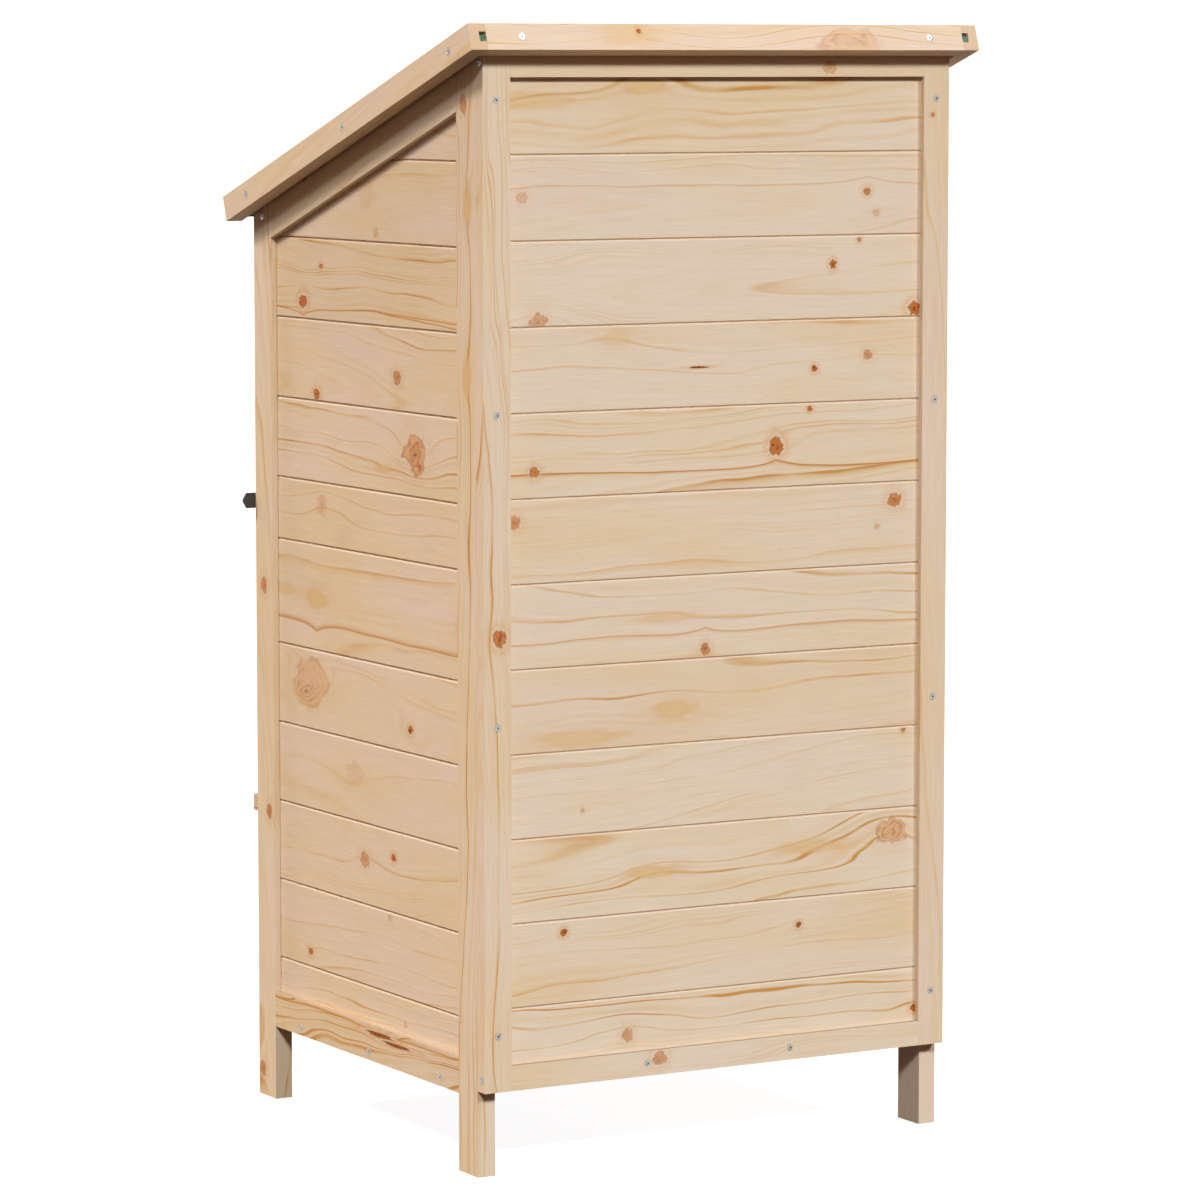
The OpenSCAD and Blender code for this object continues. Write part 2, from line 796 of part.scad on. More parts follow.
module latch_screw() {
    color(zinc) translate([latch_x, latch_y - latch_t - latch_gap, latch_z]) rotate([90, 0, 0]) {
        cylinder(h = 2.2, d1 = 2.2 * latch_pin_d, d2 = 1.4 * latch_pin_d);
        translate([0, 0, -latch_t - 2 * latch_gap - post_d / 2 + 1])
            cylinder(h = latch_t + 2 * latch_gap + post_d / 2 - 1, d = latch_pin_d);
    }
}

// A wooden block on the door that closes on the post and serves as a grip
module stop_block() {
    color(pine_side) difference() {
        block([block_x0, front_y - block_t, block_z], [door_x, front_y, block_z + block_h]);
        at_block_screws() screw_hole(block_l);
    }
    color(pine_side) block([door_x, front_y - block_t, block_z],
                           [out_x, front_y - latch_gap, block_z + block_h]);
}

// Screws, in one group for each place

module wall_screws() {
    color(zinc) {
        at_back_stile_screws() screw();
        at_back_rail_screws() screw();
        at_frame_edge_screws() screw(long_l);
        at_floor_screws() screw(floor_l);
        at_front_rail_screws() screw(front_l);
        at_cleat_screws() screw(cleat_l);
    }
}

module roof_screws() {
    color(zinc) {
        at_side_board_screws() screw(roof_screw_l);
        at_back_board_screws() screw(roof_screw_l);
    }
}

module leaf_screws() {
    color(black_steel) at_leaf_screws() screw(leaf_l);
}

module door_screws() {
    color(black_steel) at_strap_screws() screw(leaf_l);
    color(zinc) at_block_screws() screw(block_l);
}

front_post_left();
front_post_right();
rear_post_left();
rear_post_right();
side_bottom_rail_left();
side_bottom_rail_right();
side_top_rail_left();
side_top_rail_right();
side_planks_left();
side_planks_right();
back_stile_left();
back_stile_right();
back_top_rail();
back_bottom_rail();
back_plank_01();
back_plank_02();
back_plank_03();
back_plank_04();
back_plank_05();
back_plank_06();
back_plank_07();
back_plank_08();
back_plank_09();
back_plank_10();
back_plank_11();
back_plank_12();
front_top_rail();
front_bottom_rail();
front_cover_strip();
roof_board_left();
roof_board_right();
roof_board_back();
roof_panel();
roof_felt();
floor_panel();
floor_cleat_left();
floor_cleat_right();
lower_shelf();
upper_shelf();
lower_cleat_left();
lower_cleat_right();
upper_cleat_left();
upper_cleat_right();
door_stile_hinge();
door_stile_latch();
door_top_rail();
door_bottom_rail();
door_planks();
hinge_leaf_lower();
hinge_leaf_upper();
hinge_strap_lower();
hinge_strap_upper();
hinge_pins();
latch_bar();
latch_screw();
stop_block();
wall_screws();
roof_screws();
leaf_screws();
door_screws();
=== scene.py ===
import json
import math
import random

import bmesh
import bpy
from mathutils import Matrix, Vector


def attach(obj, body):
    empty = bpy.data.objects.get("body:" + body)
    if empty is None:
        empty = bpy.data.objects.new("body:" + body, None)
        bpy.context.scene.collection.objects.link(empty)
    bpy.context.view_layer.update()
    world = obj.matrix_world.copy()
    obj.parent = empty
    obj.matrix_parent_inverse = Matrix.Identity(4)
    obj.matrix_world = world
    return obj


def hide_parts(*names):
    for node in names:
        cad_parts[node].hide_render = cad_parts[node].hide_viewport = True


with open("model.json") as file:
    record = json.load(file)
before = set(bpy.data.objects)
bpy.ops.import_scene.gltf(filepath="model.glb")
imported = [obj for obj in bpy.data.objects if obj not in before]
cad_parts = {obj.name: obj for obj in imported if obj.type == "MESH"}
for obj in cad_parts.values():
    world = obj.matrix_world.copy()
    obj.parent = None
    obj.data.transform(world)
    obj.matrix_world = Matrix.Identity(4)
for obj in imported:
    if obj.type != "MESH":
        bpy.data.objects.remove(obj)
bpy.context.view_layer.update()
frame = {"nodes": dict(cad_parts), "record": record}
nodes = frame["nodes"]
print("frame loaded:", len(nodes), "nodes")

mm = 0.001


# sRGB hex to the linear colour that Blender's sockets take
def hexColour(code):
    parts = [int(code[i:i + 2], 16) / 255 for i in (1, 3, 5)]
    return [c / 12.92 if c <= 0.04045 else ((c + 0.055) / 1.055) ** 2.4 for c in parts] + [1]


# gives a function that adds one shader node, its kind named without the prefix ShaderNode, to a cleared
# tree: inputs take a value, or another node for its first output
def nodeAdder(tree):
    tree.nodes.clear()

    def addNode(kind, inputs=None, **settings):
        made = tree.nodes.new("ShaderNode" + kind)
        for name, value in settings.items():
            setattr(made, name, value)
        for key, value in (inputs or {}).items():
            if isinstance(value, bpy.types.Node):
                value = value.outputs[0]
            if isinstance(value, bpy.types.NodeSocket):
                tree.links.new(value, made.inputs[key])
            else:
                made.inputs[key].default_value = value
        return made

    return addNode


def newMaterial(name):
    material = bpy.data.materials.new(name)
    material.use_nodes = True
    return material, nodeAdder(material.node_tree)


def setStops(ramp, stops):
    ramp = ramp.color_ramp
    while len(ramp.elements) < len(stops):
        ramp.elements.new(0.5)
    for element, (place, colour) in zip(ramp.elements, stops):
        element.position = place
        element.color = colour


# camera: behind the shed at roof height, looking slightly down
view = {"place": (2.62382, 4.58108, 1.08405), "turn": 150.13, "down": 5.973, "lens": 154.51, "sensor": 36,
        "reach": 100}

# light: two large soft lamps behind the shed, left and right of the camera, a warmer one high on the left,
# one on the door and one on the far side, in a dim room
light = {"lamps": {
    "left": {"from": (0.60, 1.12, 0.90), "strength": 1.9, "angle": 8, "colour": (0.965, 1.035, 1.1)},
    "right": {"from": (-0.52, 1.0, 0.74), "strength": 1.5, "angle": 8, "colour": (0.965, 1.035, 1.1)},
    "high": {"from": (0.74, -0.25, 0.95), "strength": 2.35, "angle": 11, "colour": (0.97, 0.91, 0.86)},
    "front": {"from": (0.1, -1.0, 0.8), "strength": 2.2, "angle": 12, "colour": (1, 0.97, 0.93)},
    "far": {"from": (-1.0, -0.15, 0.22), "strength": 2.3, "angle": 12, "colour": (1, 0.95, 0.9)}},
    "room": (1, 0.52, 0.29, 1),
    "roomShade": {"From Min": -0.15, "From Max": 0.25, "To Min": 0.05, "To Max": 0.21}}


def makeCamera():
    data = bpy.data.cameras.new("camera")
    data.lens = view["lens"]
    data.sensor_width = view["sensor"]
    data.clip_end = view["reach"]
    camera = bpy.data.objects.new("camera", data)
    camera.location = view["place"]
    camera.rotation_euler = (math.radians(90 - view["down"]), 0, math.radians(view["turn"]))
    bpy.context.scene.collection.objects.link(camera)
    bpy.context.scene.camera = camera


def makeLight():
    scene = bpy.context.scene
    scene.view_settings.view_transform = "Standard"
    world = bpy.data.worlds.new("studio")
    world.use_nodes = True
    addNode = nodeAdder(world.node_tree)
    direction = addNode("TexCoord").outputs["Generated"]
    height = addNode("SeparateXYZ", {0: direction})
    above = addNode("MapRange", {"Value": height.outputs[2], **light["roomShade"]})
    room = addNode("Background", {"Color": light["room"], "Strength": above})
    addNode("OutputWorld", {"Surface": room})
    scene.world = world
    for name, given in light["lamps"].items():
        data = bpy.data.lights.new(name, "SUN")
        data.energy = given["strength"]
        data.angle = math.radians(given["angle"])
        data.color = given["colour"]
        lamp = bpy.data.objects.new(name, data)
        lamp.rotation_euler = Vector(given["from"]).to_track_quat("Z", "Y").to_euler()
        scene.collection.objects.link(lamp)


# wood: every board carries its own place along, across and through the grain,
# and how it was cut from the log, so that one pine serves them all

# early wood in three shades, late wood weak and strong, knots dark and pale, and what lies round them; then
# the painted tone of the highlight on bevels that look up, the painted shade on faces that look up, and the
# painted light on bevels that look down
pineColours = {"early": "#EAD8BF", "pink": "#E6CEB7", "honey": "#E3C496", "late": "#E0BB82",
               "lateStrong": "#CC9450", "resin": "#C47D2E", "endWood": "#CDA67A", "flame": "#DAA869",
               "knotHeart": "#4A250E", "knotWood": "#C26C28", "knotRing": "#864416",
               "paleHeart": "#8F4A22", "paleWood": "#E3B887", "paleRing": "#BC7441", "halo": "#D69C5C",
               "pale": "#EBD9BE", "arris": "#DAC6AF", "paintedTopShade": "#A4927F", "under": "#F4D6B2"}

# noises: turns a metre along, across and through the board, detail and roughness. The wander of the rings is
# some 150 mm long, fibres some 40 mm and coarser than real so that they show, ticks are resin canals
grainNoises = {"wander": ((5.5, 24, 24), 2, 0.36), "patch": ((8, 34, 34), 3, 0.5),
               "drift": ((4, 16, 16), 2, 0.5), "fibre": ((26, 620, 620), 3, 0.6),
               "tick": ((75, 900, 900), 1, 0.5)}

# what the rings and noises become; wanders and bend are in metres; the shares are how strongly the painted
# shade on faces that look up, the painted highlight tone on bevels that look up and the painted light on
# bevels that look down are laid on
grain = {"wanderBy": 0.036, "streakWander": 0.02, "streakBend": 0.007, "unevenScale": 0.45, "unevenBy": 2.2,
         "rareness": 1.9, "force": {"To Min": 0.14, "To Max": 1.3},
         "patch": {"From Min": 0.34, "From Max": 0.64, "To Min": 0.4, "To Max": 1.2},
         "drift": {"From Min": 0.35, "From Max": 0.65, "To Min": -0.3, "To Max": 0.3},
         "fibre": {"From Min": 0.3, "From Max": 0.7, "To Min": 0.95, "To Max": 1.03},
         "tick": {"From Min": 0.745, "From Max": 0.8, "To Min": 0.0, "To Max": 0.4},
         "lateShade": ((0.0, 0.35), (0.12, 0.04), (0.3, 0), (0.5, 0.3), (0.68, 0.85), (0.8, 1), (0.91, 0.85),
                       (1.0, 0.35)),
         "streakShade": ((0.0, 0), (0.1, 1), (0.3, 0.8), (0.55, 0.22), (1.0, 0)),
         "resinShare": 0.75, "endShare": 0.5, "shares": {"paintedTopShade": 0.85, "arris": 0.8, "under": 0.85},
         "roughness": 0.64, "bump": 0.3, "bumpDepth": 0.2 * mm}

# knots: distances count from the knot's middle, with its outline at 1
knotLook = {"count": 4, "spindleBelow": 0.15, "spindleDark": 0.45, "raggedScale": 1.15, "raggedRough": 0.62,
            "detail": {"From Min": 0.25, "From Max": 0.6, "To Min": 1.0, "To Max": 4.0},
            "raggedness": {"From Min": 0.1, "From Max": 0.55, "To Min": 1.2, "To Max": 1.7},
            "pushShape": (0.36, 0.8, 0), "pushFall": -0.32, "cuspFall": -55.0,
            "glow": {"From Min": 0.8, "From Max": 2.7, "To Min": 0.65, "To Max": 0.0}, "leastGlow": 0.2,
            "paleTurns": (0.36, 0.68), "paleHub": 0.07, "darkHub": 0.15, "hubEdge": 0.16, "turnEdge": 0.09,
            "bodyEnd": 0.82, "rim": 0.95,
            "broken": {"From Min": 0.46, "From Max": 0.62, "To Min": 0.0, "To Max": 0.75},
            "fleck": {"From Min": 0.56, "From Max": 0.63, "To Min": 0.0, "To Max": 0.85}, "fleckPower": 2.0,
            "outside": ((0.45, 0), (0.55, 0.8), (0.6, 0.6), (0.75, 0)), "outsideScale": 0.5,
            "flame": {"From Min": 0.35, "From Max": 1.0}, "coverFrom": {"To Min": 0.85, "To Max": 0.45},
            "cover": {"From Max": 1.15, "To Min": 1.0, "To Max": 0.0}}


# grey stops out of pairs of place and level
def greys(pairs):
    return [(place, (level, level, level, 1)) for place, level in pairs]


# every knot's reach, 1 at its outline, with its noises; push is how far they all shove the rings aside, and
# cusp is 1 beside the first knot and fades along the board
def knotReaches(addNode, place, lean):
    tones = addNode("Attribute", attribute_name="knotTones").outputs
    spreads = addNode("Attribute", attribute_name="knotSpreads").outputs
    toneOf = [*addNode("SeparateColor", {0: tones["Color"]}).outputs, tones["Alpha"]]
    spreadOf = [*addNode("SeparateColor", {0: spreads["Color"]}).outputs, spreads["Alpha"]]
    knots, push, cusp = [], None, None
    for index in range(knotLook["count"]):
        tone = toneOf[index]
        spot = addNode("Attribute", attribute_name="knot%d" % index).outputs["Vector"]
        kind = addNode("Attribute", attribute_name="knotKind%d" % index).outputs["Vector"]
        radius = addNode("SeparateXYZ", {0: spot}).outputs[2]
        strength, shove, squeezeBy = addNode("SeparateXYZ", {0: kind}).outputs
        away = addNode("VectorMath", {0: place, 1: spot}, operation="SUBTRACT")
        # a squeeze below 0 makes a flame, and a squeeze near 0 a dark spindle
        flame = addNode("Math", {0: squeezeBy, 1: 0.0}, operation="LESS_THAN")
        spindle = addNode("Math", {0: squeezeBy, 1: knotLook["spindleBelow"]}, operation="LESS_THAN")
        spindle = addNode("Math", {0: spindle, 1: flame}, operation="SUBTRACT")
        # the outline is uneven in the knot's own size and shape, and the more ragged the darker the knot is
        squeeze = addNode("CombineXYZ", {0: squeezeBy, 1: 1.0, 2: 0.0})
        perRadius = addNode("Math", {0: 1.0, 1: radius}, operation="DIVIDE")
        ownShape = addNode("VectorMath", {0: away, 1: squeeze}, operation="MULTIPLY")
        ownShape = addNode("VectorMath", {0: ownShape, "Scale": perRadius}, operation="SCALE")
        raggedAt = addNode("VectorMath", {0: ownShape, 1: lean}, operation="ADD")
        detail = addNode("MapRange", {"Value": tone, **knotLook["detail"]})
        ragged = addNode("TexNoise", {"Vector": raggedAt, "Scale": knotLook["raggedScale"], "Detail": detail,
                                      "Roughness": knotLook["raggedRough"]})
        ragged = ragged.outputs["Color"]
        raggedOff = addNode("VectorMath", {0: ragged, 1: (0.5, 0.5, 0.5)}, operation="SUBTRACT")
        raggedForce = addNode("MapRange", {"Value": tone, **knotLook["raggedness"]})
        raggedForce = addNode("CombineXYZ", {0: raggedForce, 1: raggedForce, 2: 0.0})
        raggedBy = addNode("VectorMath", {0: raggedOff, 1: raggedForce}, operation="MULTIPLY")
        outline = addNode("VectorMath", {0: ownShape, 1: raggedBy}, operation="ADD")
        reach = addNode("VectorMath", {0: outline}, operation="LENGTH").outputs["Value"]
        fleckNoise, fray = addNode("SeparateColor", {0: ragged}).outputs[1:3]
        knots.append((reach, strength, tone, fray, fleckNoise, flame, spindle))
        # its push falls off in a bell, longer along the board than across it
        wide = addNode("VectorMath", {0: away, 1: knotLook["pushShape"]}, operation="MULTIPLY")
        wide = addNode("VectorMath", {0: wide}, operation="LENGTH").outputs["Value"]
        for value in (radius, spreadOf[index]):
            wide = addNode("Math", {0: wide, 1: value}, operation="DIVIDE")
        for operation, value in (("MULTIPLY", wide), ("MULTIPLY", knotLook["pushFall"]), ("EXPONENT", 0.0),
                                 ("MULTIPLY", shove)):
            wide = addNode("Math", {0: wide, 1: value}, operation=operation)
        if index == 0:
            push = wide
            cusp = addNode("SeparateXYZ", {0: away})
            for operation, value in (("ABSOLUTE", 0.0), ("MULTIPLY", knotLook["cuspFall"]),
                                     ("EXPONENT", 0.0)):
                cusp = addNode("Math", {0: cusp, 1: value}, operation=operation)
        else:
            push = addNode("Math", {0: push, 1: wide}, operation="ADD")
    return knots, push, cusp


# one knot laid over the wood: a ringed core with a dark rim, and stained wood round it
def layKnot(addNode, colours, wood, reach, strength, tone, fray, fleckNoise, flame, spindle):
    glow = addNode("MapRange", {"Value": reach, **knotLook["glow"]}, interpolation_type="SMOOTHSTEP")
    stain = addNode("Math", {0: tone, 1: knotLook["leastGlow"]}, operation="MAXIMUM")
    for value in (stain, strength):
        glow = addNode("Math", {0: glow, 1: value}, operation="MULTIPLY")
    wood = addNode("Mix", {0: glow, 6: wood, 7: colours["halo"]}, data_type="RGBA").outputs[2]
    ramps = []
    for kind, turns, hub in (("pale", knotLook["paleTurns"], knotLook["paleHub"]),
                             ("knot", (), knotLook["darkHub"])):
        heart, body, rim = colours[kind + "Heart"], colours[kind + "Wood"], colours[kind + "Ring"]
        stops = [(0.0, heart), (hub, heart), (hub + knotLook["hubEdge"], body)]
        for turn in turns:
            stops += [(turn, rim), (turn + knotLook["turnEdge"], body)]
        ramp = addNode("ValToRGB", {0: reach})
        setStops(ramp, stops + [(knotLook["bodyEnd"], body), (knotLook["rim"], rim)])
        ramps.append(ramp)
    core = addNode("Mix", {0: tone, 6: ramps[0], 7: ramps[1]}, data_type="RGBA").outputs[2]
    # its rings and rim show only in places, bark and resin lie in it as dark flecks, a spindle is dark
    # all over, and a flame is only late wood that comes to the surface, with no knot in it
    broken = addNode("MapRange", {"Value": fray, **knotLook["broken"]})
    plain = addNode("Mix", {0: tone, 6: colours["paleWood"], 7: colours["knotWood"]},
                    data_type="RGBA").outputs[2]
    fleck = addNode("MapRange", {"Value": fleckNoise, **knotLook["fleck"]})
    fleckPart = addNode("Math", {0: tone, 1: knotLook["fleckPower"]}, operation="POWER")
    fleck = addNode("Math", {0: fleck, 1: fleckPart}, operation="MULTIPLY")
    spindleDark = addNode("Math", {0: spindle, 1: knotLook["spindleDark"]}, operation="MULTIPLY")
    flameWood = addNode("MapRange", {"Value": reach, **knotLook["flame"]})
    flameWood = addNode("Mix", {0: flameWood, 6: colours["late"], 7: colours["flame"]},
                        data_type="RGBA").outputs[2]
    for share, over in ((broken, plain), (fleck, colours["knotHeart"]), (spindleDark, colours["knotHeart"]),
                        (flame, flameWood)):
        core = addNode("Mix", {0: share, 6: core, 7: over}, data_type="RGBA").outputs[2]
    # a paler ring of wood closes round its rim
    outside = addNode("Math", {0: reach, 1: knotLook["outsideScale"]}, operation="MULTIPLY")
    outside = addNode("ValToRGB", {0: outside})
    setStops(outside, greys(knotLook["outside"]))
    for value in (strength, tone):
        outside = addNode("Math", {0: outside, 1: value}, operation="MULTIPLY")
    # flames have softer edges than knots
    coverFrom = addNode("MapRange", {"Value": flame, **knotLook["coverFrom"]})
    cover = addNode("MapRange", {"Value": reach, "From Min": coverFrom, **knotLook["cover"]},
                    interpolation_type="SMOOTHSTEP")
    cover = addNode("Math", {0: cover, 1: strength}, operation="MULTIPLY", use_clamp=True)
    for share, over in ((outside, colours["pale"]), (cover, core)):
        wood = addNode("Mix", {0: share, 6: wood, 7: over}, data_type="RGBA").outputs[2]
    return wood


def planedPine():
    # planed pine: pale, dry and matt, with soft amber rings, fine fibres and small resinous knots
    material, addNode = newMaterial("planedPine")
    colours = {name: hexColour(code) for name, code in pineColours.items()}
    vectors, parts, tints = {}, {}, {}
    for name in ("boardPlace", "boardCut", "boardLook", "boardLean", "boardStreak"):
        vectors[name] = addNode("Attribute", attribute_name=name).outputs["Vector"]
        parts[name] = addNode("SeparateXYZ", {0: vectors[name]}).outputs
    along, across, through = parts["boardPlace"]
    pith, depth, ringWidth = parts["boardCut"]
    lateForce, honey, pink = parts["boardLook"]
    seed, leanAcross, leanThrough = parts["boardLean"]
    streakAcross, streakForce, streakWidth = parts["boardStreak"]
    for name in ("endGrain", "arris", "paintedTopShade", "under"):
        tints[name] = addNode("Attribute", attribute_name=name).outputs["Fac"]
    seeded = addNode("VectorMath", {0: vectors["boardPlace"], 1: vectors["boardLean"]}, operation="ADD")
    noises = {}
    for name, (turns, detail, roughness) in grainNoises.items():
        stretched = addNode("VectorMath", {0: seeded, 1: turns}, operation="MULTIPLY")
        noises[name] = addNode("TexNoise", {"Vector": stretched, "Scale": 1, "Detail": detail,
                                            "Roughness": roughness})
    wander = addNode("Math", {0: noises["wander"], 1: 0.5}, operation="SUBTRACT")
    knots, push, cusp = knotReaches(addNode, vectors["boardPlace"], vectors["boardLean"])

    # distance from the pith, which leans along the board, gives the rings
    swing = addNode("Math", {0: wander, 1: grain["wanderBy"]}, operation="MULTIPLY")
    leanY = addNode("Math", {0: along, 1: leanAcross}, operation="MULTIPLY")
    leanZ = addNode("Math", {0: along, 1: leanThrough}, operation="MULTIPLY")
    beside, deep = across, through
    for operation, value in (("SUBTRACT", pith), ("ADD", leanY), ("ADD", swing)):
        beside = addNode("Math", {0: beside, 1: value}, operation=operation)
    for value in (depth, leanZ):
        deep = addNode("Math", {0: deep, 1: value}, operation="ADD")
    count = addNode("CombineXYZ", {0: beside, 1: deep, 2: 0.0})
    count = addNode("VectorMath", {0: count}, operation="LENGTH").outputs["Value"]
    for operation, value in (("ADD", push), ("DIVIDE", ringWidth), ("ADD", seed)):
        count = addNode("Math", {0: count, 1: value}, operation=operation)
    uneven = addNode("TexNoise", {"W": count, "Scale": grain["unevenScale"], "Detail": 1},
                     noise_dimensions="1D")
    uneven = addNode("Math", {0: uneven, 1: grain["unevenBy"]}, operation="MULTIPLY")
    rings = addNode("Math", {0: count, 1: uneven}, operation="ADD")
    part = addNode("Math", {0: rings}, operation="FRACT")
    ringNumber = addNode("Math", {0: rings}, operation="FLOOR")
    ringDraw = addNode("TexWhiteNoise", {"W": ringNumber}, noise_dimensions="1D")
    ringDraw = addNode("Math", {0: ringDraw, 1: grain["rareness"]}, operation="POWER")
    # late wood darkens slowly and ends sharply, and comes and goes along the board
    late = addNode("ValToRGB", {0: part})
    setStops(late, greys(grain["lateShade"]))
    force = addNode("MapRange", {"Value": ringDraw, **grain["force"]})
    patch = addNode("MapRange", {"Value": noises["patch"], **grain["patch"]})
    for value in (force, patch, lateForce):
        late = addNode("Math", {0: late, 1: value}, operation="MULTIPLY", use_clamp=value is lateForce)

    # some boards have one strong resinous line that bends to its knot
    bend = addNode("Math", {0: cusp, 1: grain["streakBend"]}, operation="MULTIPLY")
    lineSwing = addNode("Math", {0: wander, 1: grain["streakWander"]}, operation="MULTIPLY")
    line = across
    for operation, value in (("SUBTRACT", streakAcross), ("ADD", bend), ("ADD", lineSwing),
                             ("DIVIDE", streakWidth)):
        line = addNode("Math", {0: line, 1: value}, operation=operation)
    line = addNode("ValToRGB", {0: line})
    setStops(line, greys(grain["streakShade"]))
    line = addNode("Math", {0: line, 1: streakForce}, operation="MULTIPLY")
    late = addNode("Math", {0: late, 1: line}, operation="MAXIMUM")

    # the ground drifts between pinkish, pale and honey, with the late wood and resin over it
    drift = addNode("MapRange", {"Value": noises["drift"], **grain["drift"]})
    honey = addNode("Math", {0: honey, 1: drift}, operation="ADD", use_clamp=True)
    pink = addNode("Math", {0: pink, 1: drift}, operation="SUBTRACT", use_clamp=True)
    lateDeep = addNode("Math", {0: late, 1: late}, operation="MULTIPLY")
    lateColour = addNode("Mix", {0: lateDeep, 6: colours["late"], 7: colours["lateStrong"]},
                         data_type="RGBA").outputs[2]
    resin = addNode("Math", {0: line, 1: grain["resinShare"]}, operation="MULTIPLY")
    wood = colours["early"]
    for share, over in ((pink, colours["pink"]), (honey, colours["honey"]), (late, lateColour),
                        (resin, colours["resin"])):
        wood = addNode("Mix", {0: share, 6: wood, 7: over}, data_type="RGBA").outputs[2]

    # fibres shade it, and ticks and end grain darken it
    fibre = addNode("MapRange", {"Value": noises["fibre"], **grain["fibre"]})
    wood = addNode("Mix", {0: 1.0, 6: wood, 7: fibre}, data_type="RGBA", blend_type="MULTIPLY").outputs[2]
    tick = addNode("MapRange", {"Value": noises["tick"], **grain["tick"]})
    end = addNode("Math", {0: tints["endGrain"], 1: grain["endShare"]}, operation="MULTIPLY")
    for share, over in ((tick, colours["lateStrong"]), (end, colours["endWood"])):
        wood = addNode("Mix", {0: share, 6: wood, 7: over}, data_type="RGBA").outputs[2]
    for knot in knots:
        wood = layKnot(addNode, colours, wood, *knot)

    # painted shade: faces that look up are painted greyer and darker, to hold back the light from above.
    # Along each joint, the bevels that look up get a paler, greyer tone that stands in for their highlight,
    # and those that look down are painted warm and pale to lighten their shade
    for name, share in grain["shares"].items():
        share = addNode("Math", {0: tints[name], 1: share}, operation="MULTIPLY")
        wood = addNode("Mix", {0: share, 6: wood, 7: colours[name]}, data_type="RGBA").outputs[2]

    height = addNode("Math", {0: noises["fibre"], 1: late}, operation="ADD")
    bump = addNode("Bump", {"Strength": grain["bump"], "Distance": grain["bumpDepth"], "Height": height})
    shader = addNode("BsdfPrincipled", {"Base Color": wood, "Roughness": grain["roughness"], "IOR": 1.45,
                                        "Specular IOR Level": 0.1, "Normal": bump})
    addNode("OutputMaterial", {"Surface": shader})
    return material


# slate granules of about 1 mm, dark to light, and soft clouds over them
feltLook = {"granules": ((0.0, "#36503F"), (0.35, "#4F7059"), (0.75, "#64866E"), (1.0, "#8CA692")),
            "perMetre": 900, "cloudsPerMetre": 14,
            "cloud": {"From Min": 0.3, "From Max": 0.7, "To Min": 0.86, "To Max": 1.08},
            "roughness": 0.93, "bump": 0.9, "bumpDepth": 0.6 * mm}


def roofingFelt():
    # mineral-surfaced bitumen felt: rough green slate granules over black
    material, addNode = newMaterial("mineralRoofingFelt")
    coords = addNode("TexCoord").outputs["Object"]
    grit = addNode("TexVoronoi", {"Vector": coords, "Scale": feltLook["perMetre"]}, feature="F1")
    shade = addNode("SeparateColor", {0: grit.outputs["Color"]})
    green = addNode("ValToRGB", {0: shade})
    setStops(green, [(place, hexColour(code)) for place, code in feltLook["granules"]])
    cloud = addNode("TexNoise", {"Vector": coords, "Scale": feltLook["cloudsPerMetre"], "Detail": 4})
    cloud = addNode("MapRange", {"Value": cloud, **feltLook["cloud"]})
    colour = addNode("Mix", {0: 1.0, 6: green, 7: cloud}, data_type="RGBA", blend_type="MULTIPLY")
    rise = addNode("Math", {0: grit.outputs["Distance"], 1: -1.0}, operation="MULTIPLY")
    bump = addNode("Bump", {"Strength": feltLook["bump"], "Distance": feltLook["bumpDepth"], "Height": rise})
    shader = addNode("BsdfPrincipled", {"Base Color": colour.outputs[2], "Roughness": feltLook["roughness"],
                                        "Specular IOR Level": 0.3, "Normal": bump})
    addNode("OutputMaterial", {"Surface": shader})
    return material


# zinc-plated steel screws: grey, mottled, and softly brushed by the drive bit
zincLook = {"name": "zincPlatedSteel", "low": "#85827F", "high": "#B9B5B1", "perMetre": 700, "detail": 3,
            "metallic": 1.0, "roughness": {"To Min": 0.22, "To Max": 0.42}, "bump": 0}

# powder-coated steel: satin black with a fine orange-peel skin
coatLook = {"name": "blackPowderCoatedSteel", "low": "#2B2C2E", "high": "#393A3C", "perMetre": 420,
            "detail": 2, "metallic": 0.0, "roughness": {"To Min": 0.38, "To Max": 0.55}, "bump": 0.3,
            "bumpDepth": 0.2 * mm}


def steel(look):
    material, addNode = newMaterial(look["name"])
    coords = addNode("TexCoord").outputs["Object"]
    grit = addNode("TexNoise", {"Vector": coords, "Scale": look["perMetre"], "Detail": look["detail"]})
    colour = addNode("ValToRGB", {0: grit})
    setStops(colour, [(0.3, hexColour(look["low"])), (0.7, hexColour(look["high"]))])
    roughness = addNode("MapRange", {"Value": grit, **look["roughness"]})
    inputs = {"Base Color": colour, "Metallic": look["metallic"], "Roughness": roughness}
    if look["bump"]:
        inputs["Normal"] = addNode("Bump", {"Strength": look["bump"], "Distance": look["bumpDepth"],
                                            "Height": grit})
    shader = addNode("BsdfPrincipled", inputs)
    addNode("OutputMaterial", {"Surface": shader})
    return material


opalLook = {"dark": "#8E8E8E", "light": "#929292", "toothPerMetre": 60, "roughness": 0.9, "glow": 0.93}


def studioFloor():
    # a light table of white opal sheet: glows evenly, so shadows on it stay faint
    material, addNode = newMaterial("opalLightTable")
    coords = addNode("TexCoord").outputs["Object"]
    tooth = addNode("TexNoise", {"Vector": coords, "Scale": opalLook["toothPerMetre"]})
    colour = addNode("ValToRGB", {0: tooth})
    setStops(colour, [(0.0, hexColour(opalLook["dark"])), (1.0, hexColour(opalLook["light"]))])
    shader = addNode("BsdfPrincipled", {"Base Color": colour, "Roughness": opalLook["roughness"],
                                        "Specular IOR Level": 0.0, "Emission Color": (1, 1, 1, 1),
                                        "Emission Strength": opalLook["glow"]})
    addNode("OutputMaterial", {"Surface": shader})
    return material


def deselectAll():
    for item in bpy.context.selected_objects:
        item.select_set(False)


def makeActive(item):
    deselectAll()
    item.select_set(True)
    bpy.context.view_layer.objects.active = item


